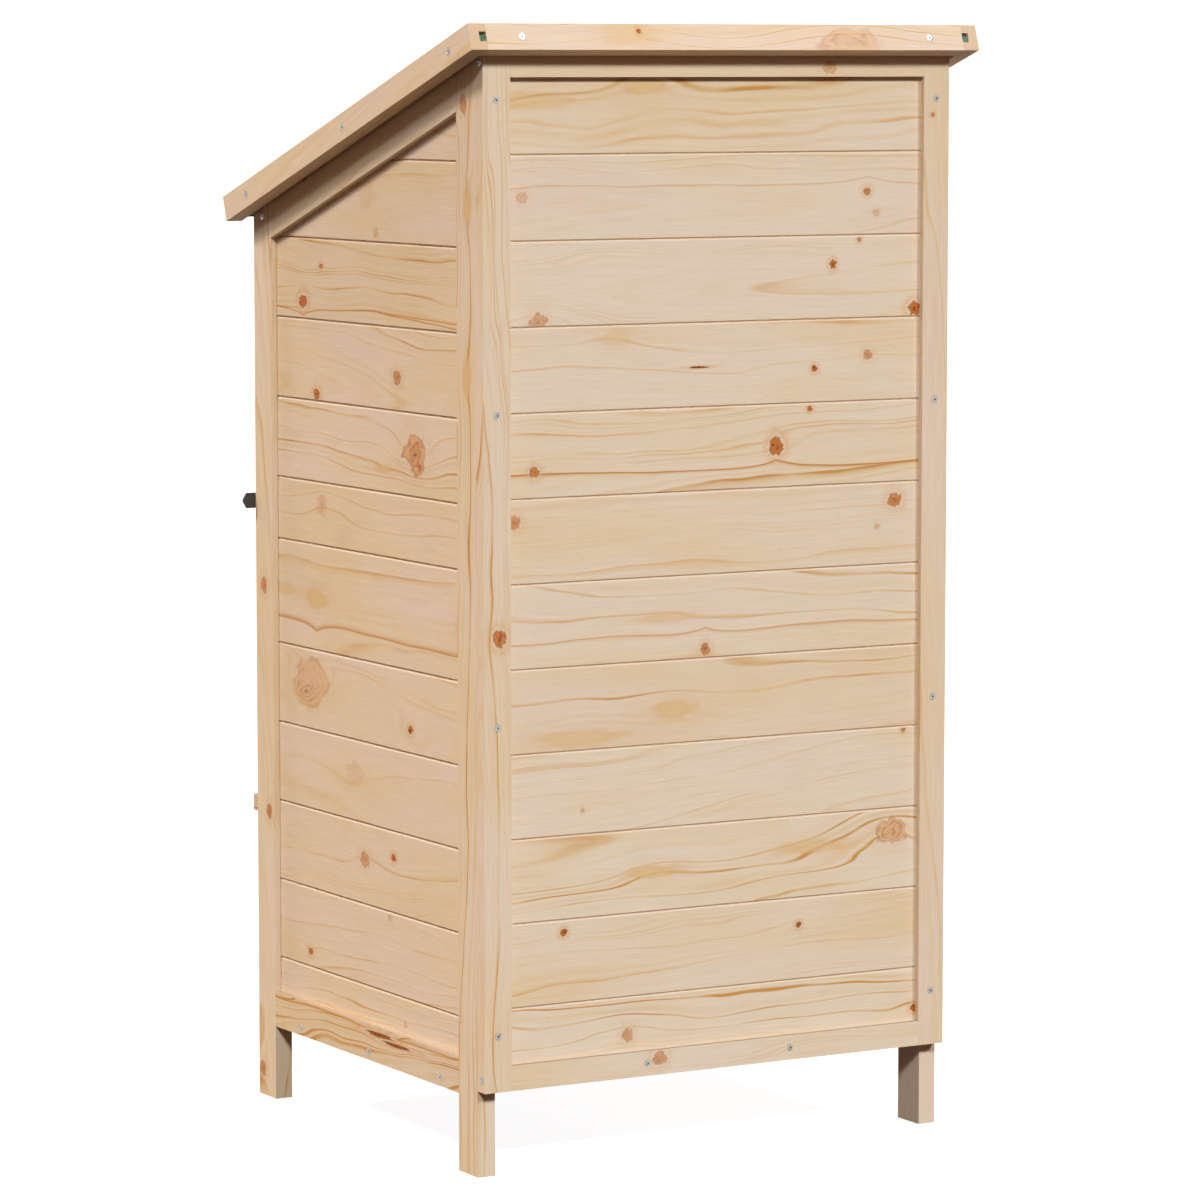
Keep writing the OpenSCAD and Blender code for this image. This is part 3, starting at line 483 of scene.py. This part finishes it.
# arrises: how close corners are welded, below which angle a face is flat and above which an edge is sharp
sanding = {"weld": 0.01 * mm, "flat": math.radians(0.6), "sharp": math.radians(35),
           "frame": 0.8 * mm, "plank": 0.35 * mm, "metal": 0.3 * mm, "probe": 0.01 * mm}


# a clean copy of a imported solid, its arrises taken off as sandpaper does
def eased(nodeName, width, segments=2):
    source = nodes[nodeName]
    copy = source.copy()
    copy.data = source.data.copy()
    copy.name = nodeName + "_finished"
    copy.data.name = copy.name
    copy.parent = None
    for key in list(copy.keys()):
        del copy[key]
    bpy.context.scene.collection.objects.link(copy)
    makeActive(copy)
    copy.data.materials.clear()
    while copy.data.uv_layers:
        copy.data.uv_layers.remove(copy.data.uv_layers[0])
    bpy.ops.object.mode_set(mode="EDIT")
    bpy.ops.mesh.select_all(action="SELECT")
    bpy.ops.mesh.remove_doubles(threshold=sanding["weld"])
    bpy.ops.mesh.dissolve_limited(angle_limit=sanding["flat"])
    bpy.ops.object.mode_set(mode="OBJECT")
    if copy.data.has_custom_normals:
        bpy.ops.mesh.customdata_custom_splitnormals_clear()
    edge = copy.modifiers.new("arris", "BEVEL")
    edge.width = width
    edge.segments = segments
    edge.limit_method = "ANGLE"
    edge.angle_limit = sanding["sharp"]
    edge.harden_normals = True
    edge.use_clamp_overlap = True
    bpy.ops.object.shade_smooth()
    bpy.ops.object.modifier_apply(modifier="arris")
    return copy


# the middle of some of a mesh's faces
def middleOf(mesh, group):
    return sum((mesh.polygons[i].center for i in group), Vector()) / len(group)


# every loose board in a mesh, as lists of its faces, from the lowest up
def looseBoards(mesh):
    work = bmesh.new()
    work.from_mesh(mesh)
    left = set(work.faces)
    groups = []
    while left:
        seed = left.pop()
        group, edge = [seed.index], [seed]
        while edge:
            face = edge.pop()
            for side in face.edges:
                for other in side.link_faces:
                    if other in left:
                        left.remove(other)
                        group.append(other.index)
                        edge.append(other)
        groups.append(group)
    work.free()
    return sorted(groups, key=lambda group: middleOf(mesh, group).z)


# what is written into the faces: vectors, shares and sets of four knots; limits are of a face normal's part
# along the grain (end), out of the broad face (bevel to flat) and upwards. The two side shares set how much
# of the painted highlight tone and of the painted shade the upward bevels of the side planks get
written = {"vectors": ["boardCut", "boardLook", "boardLean", "boardStreak"],
           "shares": ["endGrain", "arris", "paintedTopShade", "under"], "fours": ["knotTones", "knotSpreads"],
           "end": 0.8, "bevel": 0.25, "flat": 0.94, "upward": 0.2, "sideHighlightToneCut": 0.6, "sidePaintedTopShade": 0.5,
           "away": 9000}


# writes a board's grain into its faces. A knot is (along, across, radius, strength, push, squeeze, tone) and
# maybe how far its push spreads; the first three and the push are in mm. A squeeze below 0 makes a flame of
# late wood, one near 0 a dark spindle. A streak is (across, strength, width)
def setGrain(item, axis, facing, groups, boards):
    mesh = item.data
    axis, facing = Vector(axis).normalized(), Vector(facing).normalized()
    sideways = facing.cross(axis)
    inside = abs(facing.z) > 0.5
    place = mesh.attributes.new("boardPlace", "FLOAT_VECTOR", "POINT")
    for vertex in mesh.vertices:
        at = vertex.co
        place.data[vertex.index].vector = (at.dot(axis), at.dot(sideways), at.dot(facing))
    vectors = list(written["vectors"])
    for index in range(knotLook["count"]):
        vectors += ["knot%d" % index, "knotKind%d" % index]
    for names, kind, domain in ((vectors, "FLOAT_VECTOR", "FACE"), (written["shares"], "FLOAT", "FACE"),
                                (written["fours"], "FLOAT_COLOR", "CORNER")):
        for name in names:
            mesh.attributes.new(name, kind, domain)
    # layers are looked up once all exist, since a new one moves the others
    layers = {name: mesh.attributes[name].data for name in vectors + written["shares"] + written["fours"]}
    noKnot = (written["away"], written["away"], 1, 0, 0, 1, 0)
    for group, board in zip(groups, boards):
        middle = middleOf(mesh, group)
        if board["knots"] is None:
            board["knots"] = drawnKnots(mesh, group, axis, sideways, board["draw"])
        streak = board["streak"]
        values = {"boardCut": (middle.dot(sideways) + board["pith"] * mm,
                               board["depth"] * mm - middle.dot(facing), board["ring"] * mm),
                  "boardLook": (board["rings"], board["honey"], board["pink"]),
                  "boardLean": (board["seed"], board["lean"], board["dive"]),
                  "boardStreak": (streak[0] * mm, streak[1], streak[2] * mm)}
        knots = (list(board["knots"]) + [noKnot] * knotLook["count"])[:knotLook["count"]]
        for index, knot in enumerate(knots):
            along, across, radius, strength, push, squeeze = knot[:6]
            values["knot%d" % index] = (along * mm, across * mm, radius * mm)
            values["knotKind%d" % index] = (strength, push * mm, squeeze)
        fours = {"knotTones": [knot[6] for knot in knots],
                 "knotSpreads": [knot[7] if len(knot) > 7 else 1 for knot in knots]}
        for face in group:
            for name, value in values.items():
                layers[name][face].vector = value
            polygon = mesh.polygons[face]
            normal = polygon.normal
            bevelled = written["bevel"] < abs(normal.dot(facing)) < written["flat"]
            rising = bevelled and written["upward"] < normal.z <= written["flat"]
            # painted light, by the way each face looks: bevels that look up get the painted highlight tone,
            # those that look down get painted light, and on the side planks the upward bevels get painted
            # shade too
            shares = {"endGrain": abs(normal.dot(axis)) > written["end"],
                      "arris": rising * (1.0 - written["sideHighlightToneCut"] * abs(facing.x)),
                      "under": bevelled and normal.z < -written["upward"],
                      "paintedTopShade": rising * written["sidePaintedTopShade"] * abs(facing.x)}
            # flat faces that look up get the full painted shade, except on boards whose broad face looks up
            if normal.z > written["flat"] and not inside:
                shares["paintedTopShade"] = 1.0
            for name, value in shares.items():
                layers[name][face].value = float(value)
            for corner in polygon.loop_indices:
                for name, value in fours.items():
                    layers[name][corner].color = value


# knots drawn for a board whose knots aren't given: how many, and the ranges of their values
drawn = {"numbers": (0, 0, 1, 1, 2), "radius": (2.5, 6.5), "strength": (0.5, 1), "push": 0.8,
         "squeeze": (0.7, 1.2), "tone": (0.1, 1)}


def drawnKnots(mesh, group, axis, sideways, draw):
    corners = [mesh.vertices[v].co for i in group for v in mesh.polygons[i].vertices]
    lengthwise = [corner.dot(axis) / mm for corner in corners]
    crosswise = [corner.dot(sideways) / mm for corner in corners]
    knots = []
    for index in range(draw.choice(drawn["numbers"])):
        radius = draw.uniform(*drawn["radius"])
        along = draw.uniform(min(lengthwise), max(lengthwise))
        across = draw.uniform(min(crosswise), max(crosswise))
        strength = draw.uniform(*drawn["strength"])
        squeeze = draw.uniform(*drawn["squeeze"])
        tone = draw.uniform(*drawn["tone"])
        knots.append((along, across, radius, strength, radius * drawn["push"], squeeze, tone))
    return knots


# ranges of a board's look, in the order they are drawn: where the pith lies across and how deep, and how wide
# the rings are, in mm; how strong the rings are, how honey and how pink; its seed, and how the pith leans
boardRanges = {"pith": (-70, 70), "depth": (16, 60), "ring": (3.6, 7), "rings": (0.45, 0.85),
               "honey": (0.1, 0.45), "pink": (0.1, 0.6), "seed": (0, 20), "lean": (-0.04, 0.04),
               "dive": (-0.06, 0.06)}


# the look of one board: what isn't given is drawn from its own seed
def board(seed, **given):
    draw = random.Random(seed)
    values = {name: draw.uniform(*ends) for name, ends in boardRanges.items()}
    values.update({"streak": (written["away"], 0, 1), "knots": None, "draw": draw})
    values.update(given)
    return values


# grain runs along axis and the broad face looks along facing; a wide panel is cut into glued staves
def dressWood(nodeName, axis, facing, boards, width=sanding["frame"], body="shed", staves=0):
    item = eased(nodeName, width)
    item.data.materials.append(materials["pine"])
    if staves:
        groups = cutStaves(item, Vector(facing).cross(Vector(axis)), staves)
    else:
        groups = looseBoards(item.data)
    while len(boards) < len(groups):
        boards.append(board(hashOf(nodeName) + seeds["more"] * len(boards)))
    setGrain(item, axis, facing, groups, boards)
    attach(item, body)
    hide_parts(nodeName)
    return item


# cuts a panel's skin into strips of one width across the grain, and returns each strip's faces
def cutStaves(item, sideways, count):
    sideways = sideways.normalized()
    spans = [vertex.co.dot(sideways) for vertex in item.data.vertices]
    low, high = min(spans), max(spans)
    makeActive(item)
    bpy.ops.object.mode_set(mode="EDIT")
    for index in range(1, count):
        bpy.ops.mesh.select_all(action="SELECT")
        bpy.ops.mesh.bisect(plane_co=sideways * (low + (high - low) * index / count), plane_no=sideways)
    bpy.ops.object.mode_set(mode="OBJECT")
    groups = [[] for index in range(count)]
    for polygon in item.data.polygons:
        share = (polygon.center.dot(sideways) - low) / (high - low)
        groups[min(count - 1, int(share * count))].append(polygon.index)
    return groups


# seeds of the boards, with the steps from one board to the next, and of the screws' turns
seeds = {"back": 31, "side": 205, "step": 7, "more": 17, "screws": 11}


# a seed out of a name
def hashOf(name):
    return sum((i + 1) * ord(letter) for i, letter in enumerate(name))


def bodyOf(nodeName):
    for body, members in frame["record"]["behaviour"]["bodies"].items():
        if nodeName in members:
            return body


materials = {"pine": planedPine(), "felt": roofingFelt(), "zinc": steel(zincLook), "black": steel(coatLook),
             "floor": studioFloor()}
print("materials made")

makeCamera()
makeLight()

alongX, right, left = (1, 0, 0), (1, 0, 0), (-1, 0, 0)
alongY, back, front = (0, 1, 0), (0, 1, 0), (0, -1, 0)
up = (0, 0, 1)

# back planks from the bottom: a knot's first two numbers are its x and z
backPlanks = [
    {"ring": 6.5, "rings": 1.0,
     "knots": [(103, 128, 7.5, 0.8, 12, 1.3, 0.45, 1.4), (-235, 124, 4.5, 1, 3, 1, 0.95)]},
    {"ring": 5, "rings": 0.7, "pith": -105, "depth": 30,
     "knots": [(175, 236, 3.8, 1, 5, 1, 0.95), (-96, 221, 3.2, 1, 4, 1, 0.95)]},
    {"ring": 6, "rings": 1.0, "depth": 22,
     "knots": [(-206, 308, 15, 0.8, 24, 0.9, 0.12), (73, 288, 9, 0.8, 6, -0.25, 0),
               (-116, 299, 10, 0.7, 6, -0.2, 0)]},
    {"ring": 3.2, "rings": 0.5, "depth": 60, "honey": 0.1,
     "knots": [(-220, 411, 3, 0.9, 1, 1, 0.7), (154, 355, 2.5, 0.5, 1, 1, 0.5)]},
    {"ring": 8, "rings": 0.9, "depth": 20,
     "knots": [(50, 449, 10, 0.75, 9, -0.36, 0), (159, 427, 9, 0.65, 5, -0.15, 0)]},
    {"ring": 8.5, "rings": 0.8, "depth": 18, "pink": 0.3, "streak": (-524, 0.6, 5),
     "knots": [(14, 506, 6, 0.95, 12, 1.2, 0.65, 1.4), (60, 540, 5, 0.6, 3, -0.12, 0)]},
    {"ring": 6, "rings": 0.65, "pink": 0.3, "pith": 110, "depth": 25,
     "knots": [(-208, 645, 7, 1, 5, 0.9, 0.62), (230, 641, 7, 0.9, 3, 1, 0.5),
               (-187, 619, 3.2, 0.5, 1, 1, 0.4)]},
    {"ring": 4.5, "rings": 1.3, "depth": 70, "pith": 60, "honey": 0.15, "streak": (-687, 1.0, 5),
     "knots": [(-68, 704, 9.5, 1, 3, 1.25, 0.9), (207, 689, 5.4, 0.9, 2, 1, 0.8),
               (-107, 740, 3, 0.9, 1, 1, 1)]},
    {"ring": 7.5, "rings": 0.6,
     "knots": [(-175, 792, 5, 0.8, 3, 1, 0.6), (-112, 780, 3.4, 1, 1, 1, 1), (22, 785, 1.1, 1, 1, 0.1, 1),
               (116, 817, 9, 0.5, 7, -0.4, 0)]},
    {"ring": 4, "rings": 0.6, "pink": 0.3,
     "knots": [(-133, 883, 4.6, 1, 4, 1.2, 1), (-230, 837, 7, 1, 4, 1, 0.95),
               (203, 832, 10, 0.8, 12, 1.1, 0.3), (-164, 907, 2.6, 0.8, 1, 1, 0.8)]},
    {"ring": 5, "rings": 0.5, "pink": 0.5, "honey": 0.05, "streak": (-962, 0.4, 3),
     "knots": [(-173, 955, 4, 0.9, 4, 1, 0.8), (-184, 934, 4, 0.5, 2, 1, 0.3),
               (221, 954, 6, 0.5, 4, 1, 0.3)]},
    {"ring": 8, "rings": 0.95, "honey": 0.3, "depth": 24,
     "knots": [(84, 1060, 10, 0.75, 12, -0.32, 0), (200, 1046, 10, 0.6, 6, -0.2, 0)]},
]
# planks run along x; seen from behind, across the grain is downwards
for index, given in enumerate(backPlanks):
    given["knots"] = [(knot[0], -knot[1]) + knot[2:] for knot in given["knots"]]
    boards = [board(seeds["back"] + seeds["step"] * index, **given)]
    dressWood("back_plank_%02d" % (index + 1), alongX, back, boards, sanding["plank"])
print("back planks made")

# side planks from the bottom: a knot's first two numbers are its y and z
sidePlanks = [
    {"rings": 0.7, "knots": [(75, 124, 3.5, 0.4, 1, 0.8, 0.3)]},
    {"rings": 0.75, "knots": [(-136, 167, 4, 0.95, 3, 0.8, 1), (42, 228, 4, 0.5, 2, 0.8, 0.3)]},
    {"rings": 0.8, "knots": [(-13, 280, 8, 0.8, 10, 0.85, 0.5), (50, 290, 4, 1, 2, 0.8, 1)]},
    {"rings": 0.5, "knots": [(-34, 365, 12, 0.25, 6, 0.7, 0.1)]},
    {"rings": 0.8, "knots": [(-135, 445, 25, 0.62, 26, 0.62, 0.12, 0.5), (87, 423, 4.2, 1, 8, 0.8, 1, 2.2)]},
    {"rings": 0.8, "ring": 9, "depth": 45, "pith": -60, "honey": 0.35, "streak": (507, 0.75, 9),
     "knots": [(-118, 535, 11, 0.8, 12, -0.38, 0), (-190, 540, 6, 0.6, 4, -0.2, 0),
               (205, 532, 14, 0.7, 4, -0.5, 0)]},
    {"rings": 0.65, "pink": 0.6,
     "knots": [(-105, 633, 12, 0.45, 8, 1.0, 0.15), (-57, 604, 15, 0.12, 6, 0.6, 0.1)]},
    {"rings": 0.8, "knots": [(99, 699, 17, 0.95, 20, 0.78, 0.26, 0.6), (34, 680, 4, 0.9, 3, -0.16, 0)]},
    {"rings": 0.65, "pink": 0.6,
     "knots": [(62, 772, 7, 0.85, 8, 0.85, 0.6), (-115, 746, 5.5, 1, 4, 0.8, 0.9)]},
    {"rings": 1.3, "ring": 5, "honey": 0.45, "depth": 25, "pith": 120, "streak": (832, 0.9, 4),
     "knots": [(-145, 840, 7.5, 1, 6, 0.9, 0.95), (-104, 877, 3, 0.9, 1, 0.8, 1)]},
    {"rings": 0.7, "knots": [(17, 914, 5, 0.5, 3, 0.8, 0.3), (-3, 950, 13, 0.25, 10, 0.7, 0.1)]},
    {"rings": 1.0, "honey": 0.35},
]
# where the knots of the side that isn't seen lie, out of those of the seen one, in mm
moved = {"along": 40, "share": 0.8, "down": 4}
for side, sign in (("left", -1), ("right", 1)):
    boards = []
    for index, given in enumerate(sidePlanks):
        given = {"honey": 0.35, "pink": 0.5, "knots": []} | given
        if side == "left":
            # it has boards of its own: one knot at most, in another place
            given["knots"] = [(moved["along"] - moved["share"] * knot[0], moved["down"] - knot[1]) + knot[2:]
                              for knot in given["knots"][index % 2:][:1]]
            given.pop("streak", None)
        boards.append(board(seeds["side"] + seeds["step"] * index + sign, **given))
    dressWood("side_planks_" + side, alongY, (sign, 0, 0), boards, sanding["plank"])
print("side planks made")

# uprights: along z, and a knot's first two numbers are its z and its place across
uprights = {
    "front_post_left": {}, "rear_post_left": {},
    "front_post_right": {"rings": 1.1, "honey": 0.35, "knots": [
        (304, 217, 5.5, 1, 4, 0.7, 0.6), (28, 236, 6.5, 0.9, 4, 0.8, 0.6), (541, 226, 6, 0.9, 4, 0.7, 0.6)]},
    "rear_post_right": {"rings": 1.6, "ring": 3.2, "honey": 0.4, "knots": [
        (945, -221, 9, 0.9, 5, -0.42, 0), (779, -219, 9, 0.9, 5, -0.4, 0),
        (1044, -213, 6, 0.8, 3, 0.6, 0.5)]},
    "back_stile_left": {"rings": 0.5, "pink": 0.7, "knots": [(1031, -247, 2.6, 0.8, 1, 1, 0.8)]},
    "back_stile_right": {"rings": 1.1, "honey": 0.3, "knots": [(530, 249, 7.5, 1, 7, 0.9, 0.75)]},
    "door_stile_hinge": {}, "door_stile_latch": {},
}
for name, given in uprights.items():
    facing = {"back": back, "door": front}.get(name.split("_")[0], right)
    dressWood(name, up, facing, [board(hashOf(name), **({"ring": 4} | given))], body=bodyOf(name))

# rails, boards and panels: the way the grain runs, the way the broad face looks, and the board's look; the
# roof's run along its pitch
pitch = math.radians(18.2)
slopeAxis = (0, math.cos(pitch), math.sin(pitch))
slopeUp = (0, -slopeAxis[2], slopeAxis[1])
lengths = {
    "side_bottom_rail_left": (alongY, left, {}),
    "side_bottom_rail_right": (alongY, right, {
        "rings": 2.4, "honey": 0.5, "ring": 3, "streak": (110, 0.8, 6),
        "knots": [(29, 107, 2.4, 1, 6, 0.08, 1, 2), (66, 102, 1.9, 1, 5, 0.06, 1, 2)]}),
    "side_top_rail_left": (slopeAxis, left, {}), "side_top_rail_right": (slopeAxis, right, {}),
    "back_top_rail": (alongX, back, {}),
    "back_bottom_rail": (alongX, back, {"knots": [(70, -102, 7, 0.8, 4, 0.9, 0.5)]}),
    "front_top_rail": (alongX, front, {}), "front_bottom_rail": (alongX, front, {}),
    "front_cover_strip": (alongX, front, {}),
    "roof_board_left": (slopeAxis, left, {}), "roof_board_right": (slopeAxis, right, {"pink": 0.7}),
    "roof_board_back": (alongX, back, {"pink": 0.9, "honey": 0.0, "knots": [
        (112, -1110, 13, 0.5, 3, -0.36, 0), (103, -1113, 2.6, 1, 2, 1, 1),
        (-137, -1100, 19, 0.5, 14, 0.6, 0.12)]}),
    "roof_panel": (alongX, slopeUp, {}), "floor_panel": (alongX, up, {}),
    "floor_cleat_left": (alongY, right, {}), "floor_cleat_right": (alongY, left, {}),
    "lower_shelf": (alongX, up, {}), "upper_shelf": (alongX, up, {}),
    "lower_cleat_left": (alongY, right, {}), "lower_cleat_right": (alongY, left, {}),
    "upper_cleat_left": (alongY, right, {}), "upper_cleat_right": (alongY, left, {}),
    "door_top_rail": (alongX, front, {}), "door_bottom_rail": (alongX, front, {}),
    "door_planks": (alongX, front, {}), "stop_block": (alongX, front, {}),
}
panelStaves = {"roof_panel": 7, "floor_panel": 7, "lower_shelf": 6, "upper_shelf": 6}
for name, (axis, facing, given) in lengths.items():
    dressWood(name, axis, facing, [board(hashOf(name), **given)], body=bodyOf(name),
              staves=panelStaves.get(name, 0))
print("rails, roof, floor, shelves and door made")

blackPieces = ("hinge_leaf_lower", "hinge_leaf_upper", "hinge_strap_lower", "hinge_strap_upper",
               "hinge_pins", "latch_bar")
for coat, slot, names in (("felt", "green_felt", ("roof_felt",)), ("black", "black_steel", blackPieces)):
    for name in names:
        item = eased(name, sanding["metal"])
        item.data.materials.append(materials[coat])
        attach(item, bodyOf(name))
        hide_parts(name)
print("felt, hinges and latch made")

# one countersunk screw with a cross recess, head at the origin and driven down -z
screwKind = {"head": 3.8 * mm, "shank": 1.75 * mm, "proud": 0.3 * mm, "cone": 2.0 * mm, "rim": 0.28 * mm,
             "sides": 36, "length": 6 * mm, "tipBelow": -5 * mm, "smooth": math.radians(32),
             "crossLong": 4.6 * mm, "crossWide": 1.1 * mm, "crossDeep": 1.7 * mm, "crossFoot": (0.35, 0.6, 1)}


# selects the faces that look straight up (way 1) or down (way -1)
def selectFacing(item, way):
    work = bmesh.from_edit_mesh(item.data)
    for face in work.faces:
        face.select = way * face.normal.z > 0.9
    bmesh.update_edit_mesh(item.data)


def makeScrew():
    deselectAll()
    bpy.ops.mesh.primitive_cylinder_add(vertices=screwKind["sides"], radius=screwKind["head"],
                                        depth=screwKind["cone"],
                                        location=(0, 0, screwKind["proud"] - screwKind["cone"] / 2))
    screw = bpy.context.object
    bpy.ops.object.transform_apply(location=True, rotation=False, scale=False)
    bpy.ops.object.mode_set(mode="EDIT")
    bpy.ops.mesh.select_mode(type="FACE")
    selectFacing(screw, -1)
    narrowed = screwKind["shank"] / screwKind["head"]
    bpy.ops.transform.resize(value=(narrowed, narrowed, 1), center_override=(0, 0, 0))
    bpy.ops.mesh.extrude_region_move(TRANSFORM_OT_translate={"value": (0, 0, -screwKind["length"])})
    selectFacing(screw, 1)
    bpy.ops.mesh.bevel(offset=screwKind["rim"], segments=3, affect="EDGES")
    bpy.ops.object.mode_set(mode="OBJECT")
    # the driver's cross, narrowing downwards, is cut out of the head
    deselectAll()
    bpy.ops.mesh.primitive_cube_add(size=1, location=(0, 0, screwKind["proud"]))
    cross = bpy.context.object
    bpy.ops.transform.resize(value=(screwKind["crossLong"], screwKind["crossWide"],
                                    2 * screwKind["crossDeep"]))
    bpy.ops.object.transform_apply(location=True, rotation=True, scale=True)
    bpy.ops.object.mode_set(mode="EDIT")
    selectFacing(cross, -1)
    bpy.ops.transform.resize(value=screwKind["crossFoot"], center_override=(0, 0, 0))
    bpy.ops.object.mode_set(mode="OBJECT")
    for turn in (0, math.pi / 2):
        cross.rotation_euler = (0, 0, turn)
        makeActive(screw)
        recess = screw.modifiers.new("recess", "BOOLEAN")
        recess.object = cross
        recess.operation = "DIFFERENCE"
        recess.solver = "EXACT"
        bpy.context.view_layer.update()
        bpy.ops.object.modifier_apply(modifier="recess")
    bpy.data.objects.remove(cross)
    makeActive(screw)
    bpy.ops.object.shade_smooth_by_angle(angle=screwKind["smooth"])
    return screw


# every screw of a node: where its head's middle is, the way it looks, and its length
def screwPlaces(nodeName):
    probe = eased(nodeName, sanding["probe"], 1)
    mesh = probe.data
    places = []
    for group in looseBoards(mesh):
        top = max((mesh.polygons[index] for index in group), key=lambda polygon: polygon.area)
        corners = [mesh.vertices[v].co for i in group for v in mesh.polygons[i].vertices]
        depth = max((top.center - corner).dot(top.normal) for corner in corners)
        places.append((top.center.copy(), top.normal.copy(), depth))
    bpy.data.objects.remove(probe)
    return places


pattern = makeScrew()
spin = random.Random(seeds["screws"])
screwCoats = {"wall_screws": "zinc", "roof_screws": "zinc", "leaf_screws": "black", "door_screws": "zinc",
              "latch_screw": "zinc"}
for name, coat in screwCoats.items():
    copies = []
    for centre, normal, length in screwPlaces(name):
        copy = pattern.copy()
        copy.data = pattern.data.copy()
        bpy.context.scene.collection.objects.link(copy)
        for vertex in copy.data.vertices:
            if vertex.co.z < screwKind["tipBelow"]:
                vertex.co.z = screwKind["proud"] - length
        copy.data.transform(Matrix.Translation(centre - normal * screwKind["proud"])
                            @ normal.to_track_quat("Z", "Y").to_matrix().to_4x4()
                            @ Matrix.Rotation(spin.uniform(0, math.pi / 2), 4, "Z"))
        copies.append(copy)
    deselectAll()
    for copy in copies:
        copy.select_set(True)
    bpy.context.view_layer.objects.active = copies[0]
    if len(copies) > 1:
        bpy.ops.object.join()
    item = copies[0]
    item.name = item.data.name = name + "_finished"
    item.data.materials.clear()
    item.data.materials.append(materials[coat])
    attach(item, bodyOf(name))
    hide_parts(name)
bpy.data.objects.remove(pattern)
print("screws made")

# the floor turns up into a wall far away, all in one white sheet with no horizon: radius and height in metres
stage = {"radius": 14, "sides": 96, "rim": ((15.2, 0.25), (16.3, 1.0), (17, 2.2), (17.3, 4), (17.4, 12))}
deselectAll()
bpy.ops.mesh.primitive_circle_add(vertices=stage["sides"], radius=stage["radius"], fill_type="NGON",
                                  location=(0, 0, 0))
floor = bpy.context.object
floor.name = "floor"
bpy.ops.object.mode_set(mode="EDIT")
bpy.ops.mesh.select_mode(type="EDGE")
bpy.ops.mesh.select_all(action="SELECT")
reached, lifted = stage["radius"], 0
for radius, height in stage["rim"]:
    bpy.ops.mesh.extrude_region_move(TRANSFORM_OT_translate={"value": (0, 0, height - lifted)})
    bpy.ops.transform.resize(value=(radius / reached, radius / reached, 1), center_override=(0, 0, height))
    reached, lifted = radius, height
bpy.ops.object.mode_set(mode="OBJECT")
bpy.ops.object.shade_smooth()
floor.data.materials.append(materials["floor"])
floor.visible_diffuse = floor.visible_shadow = False
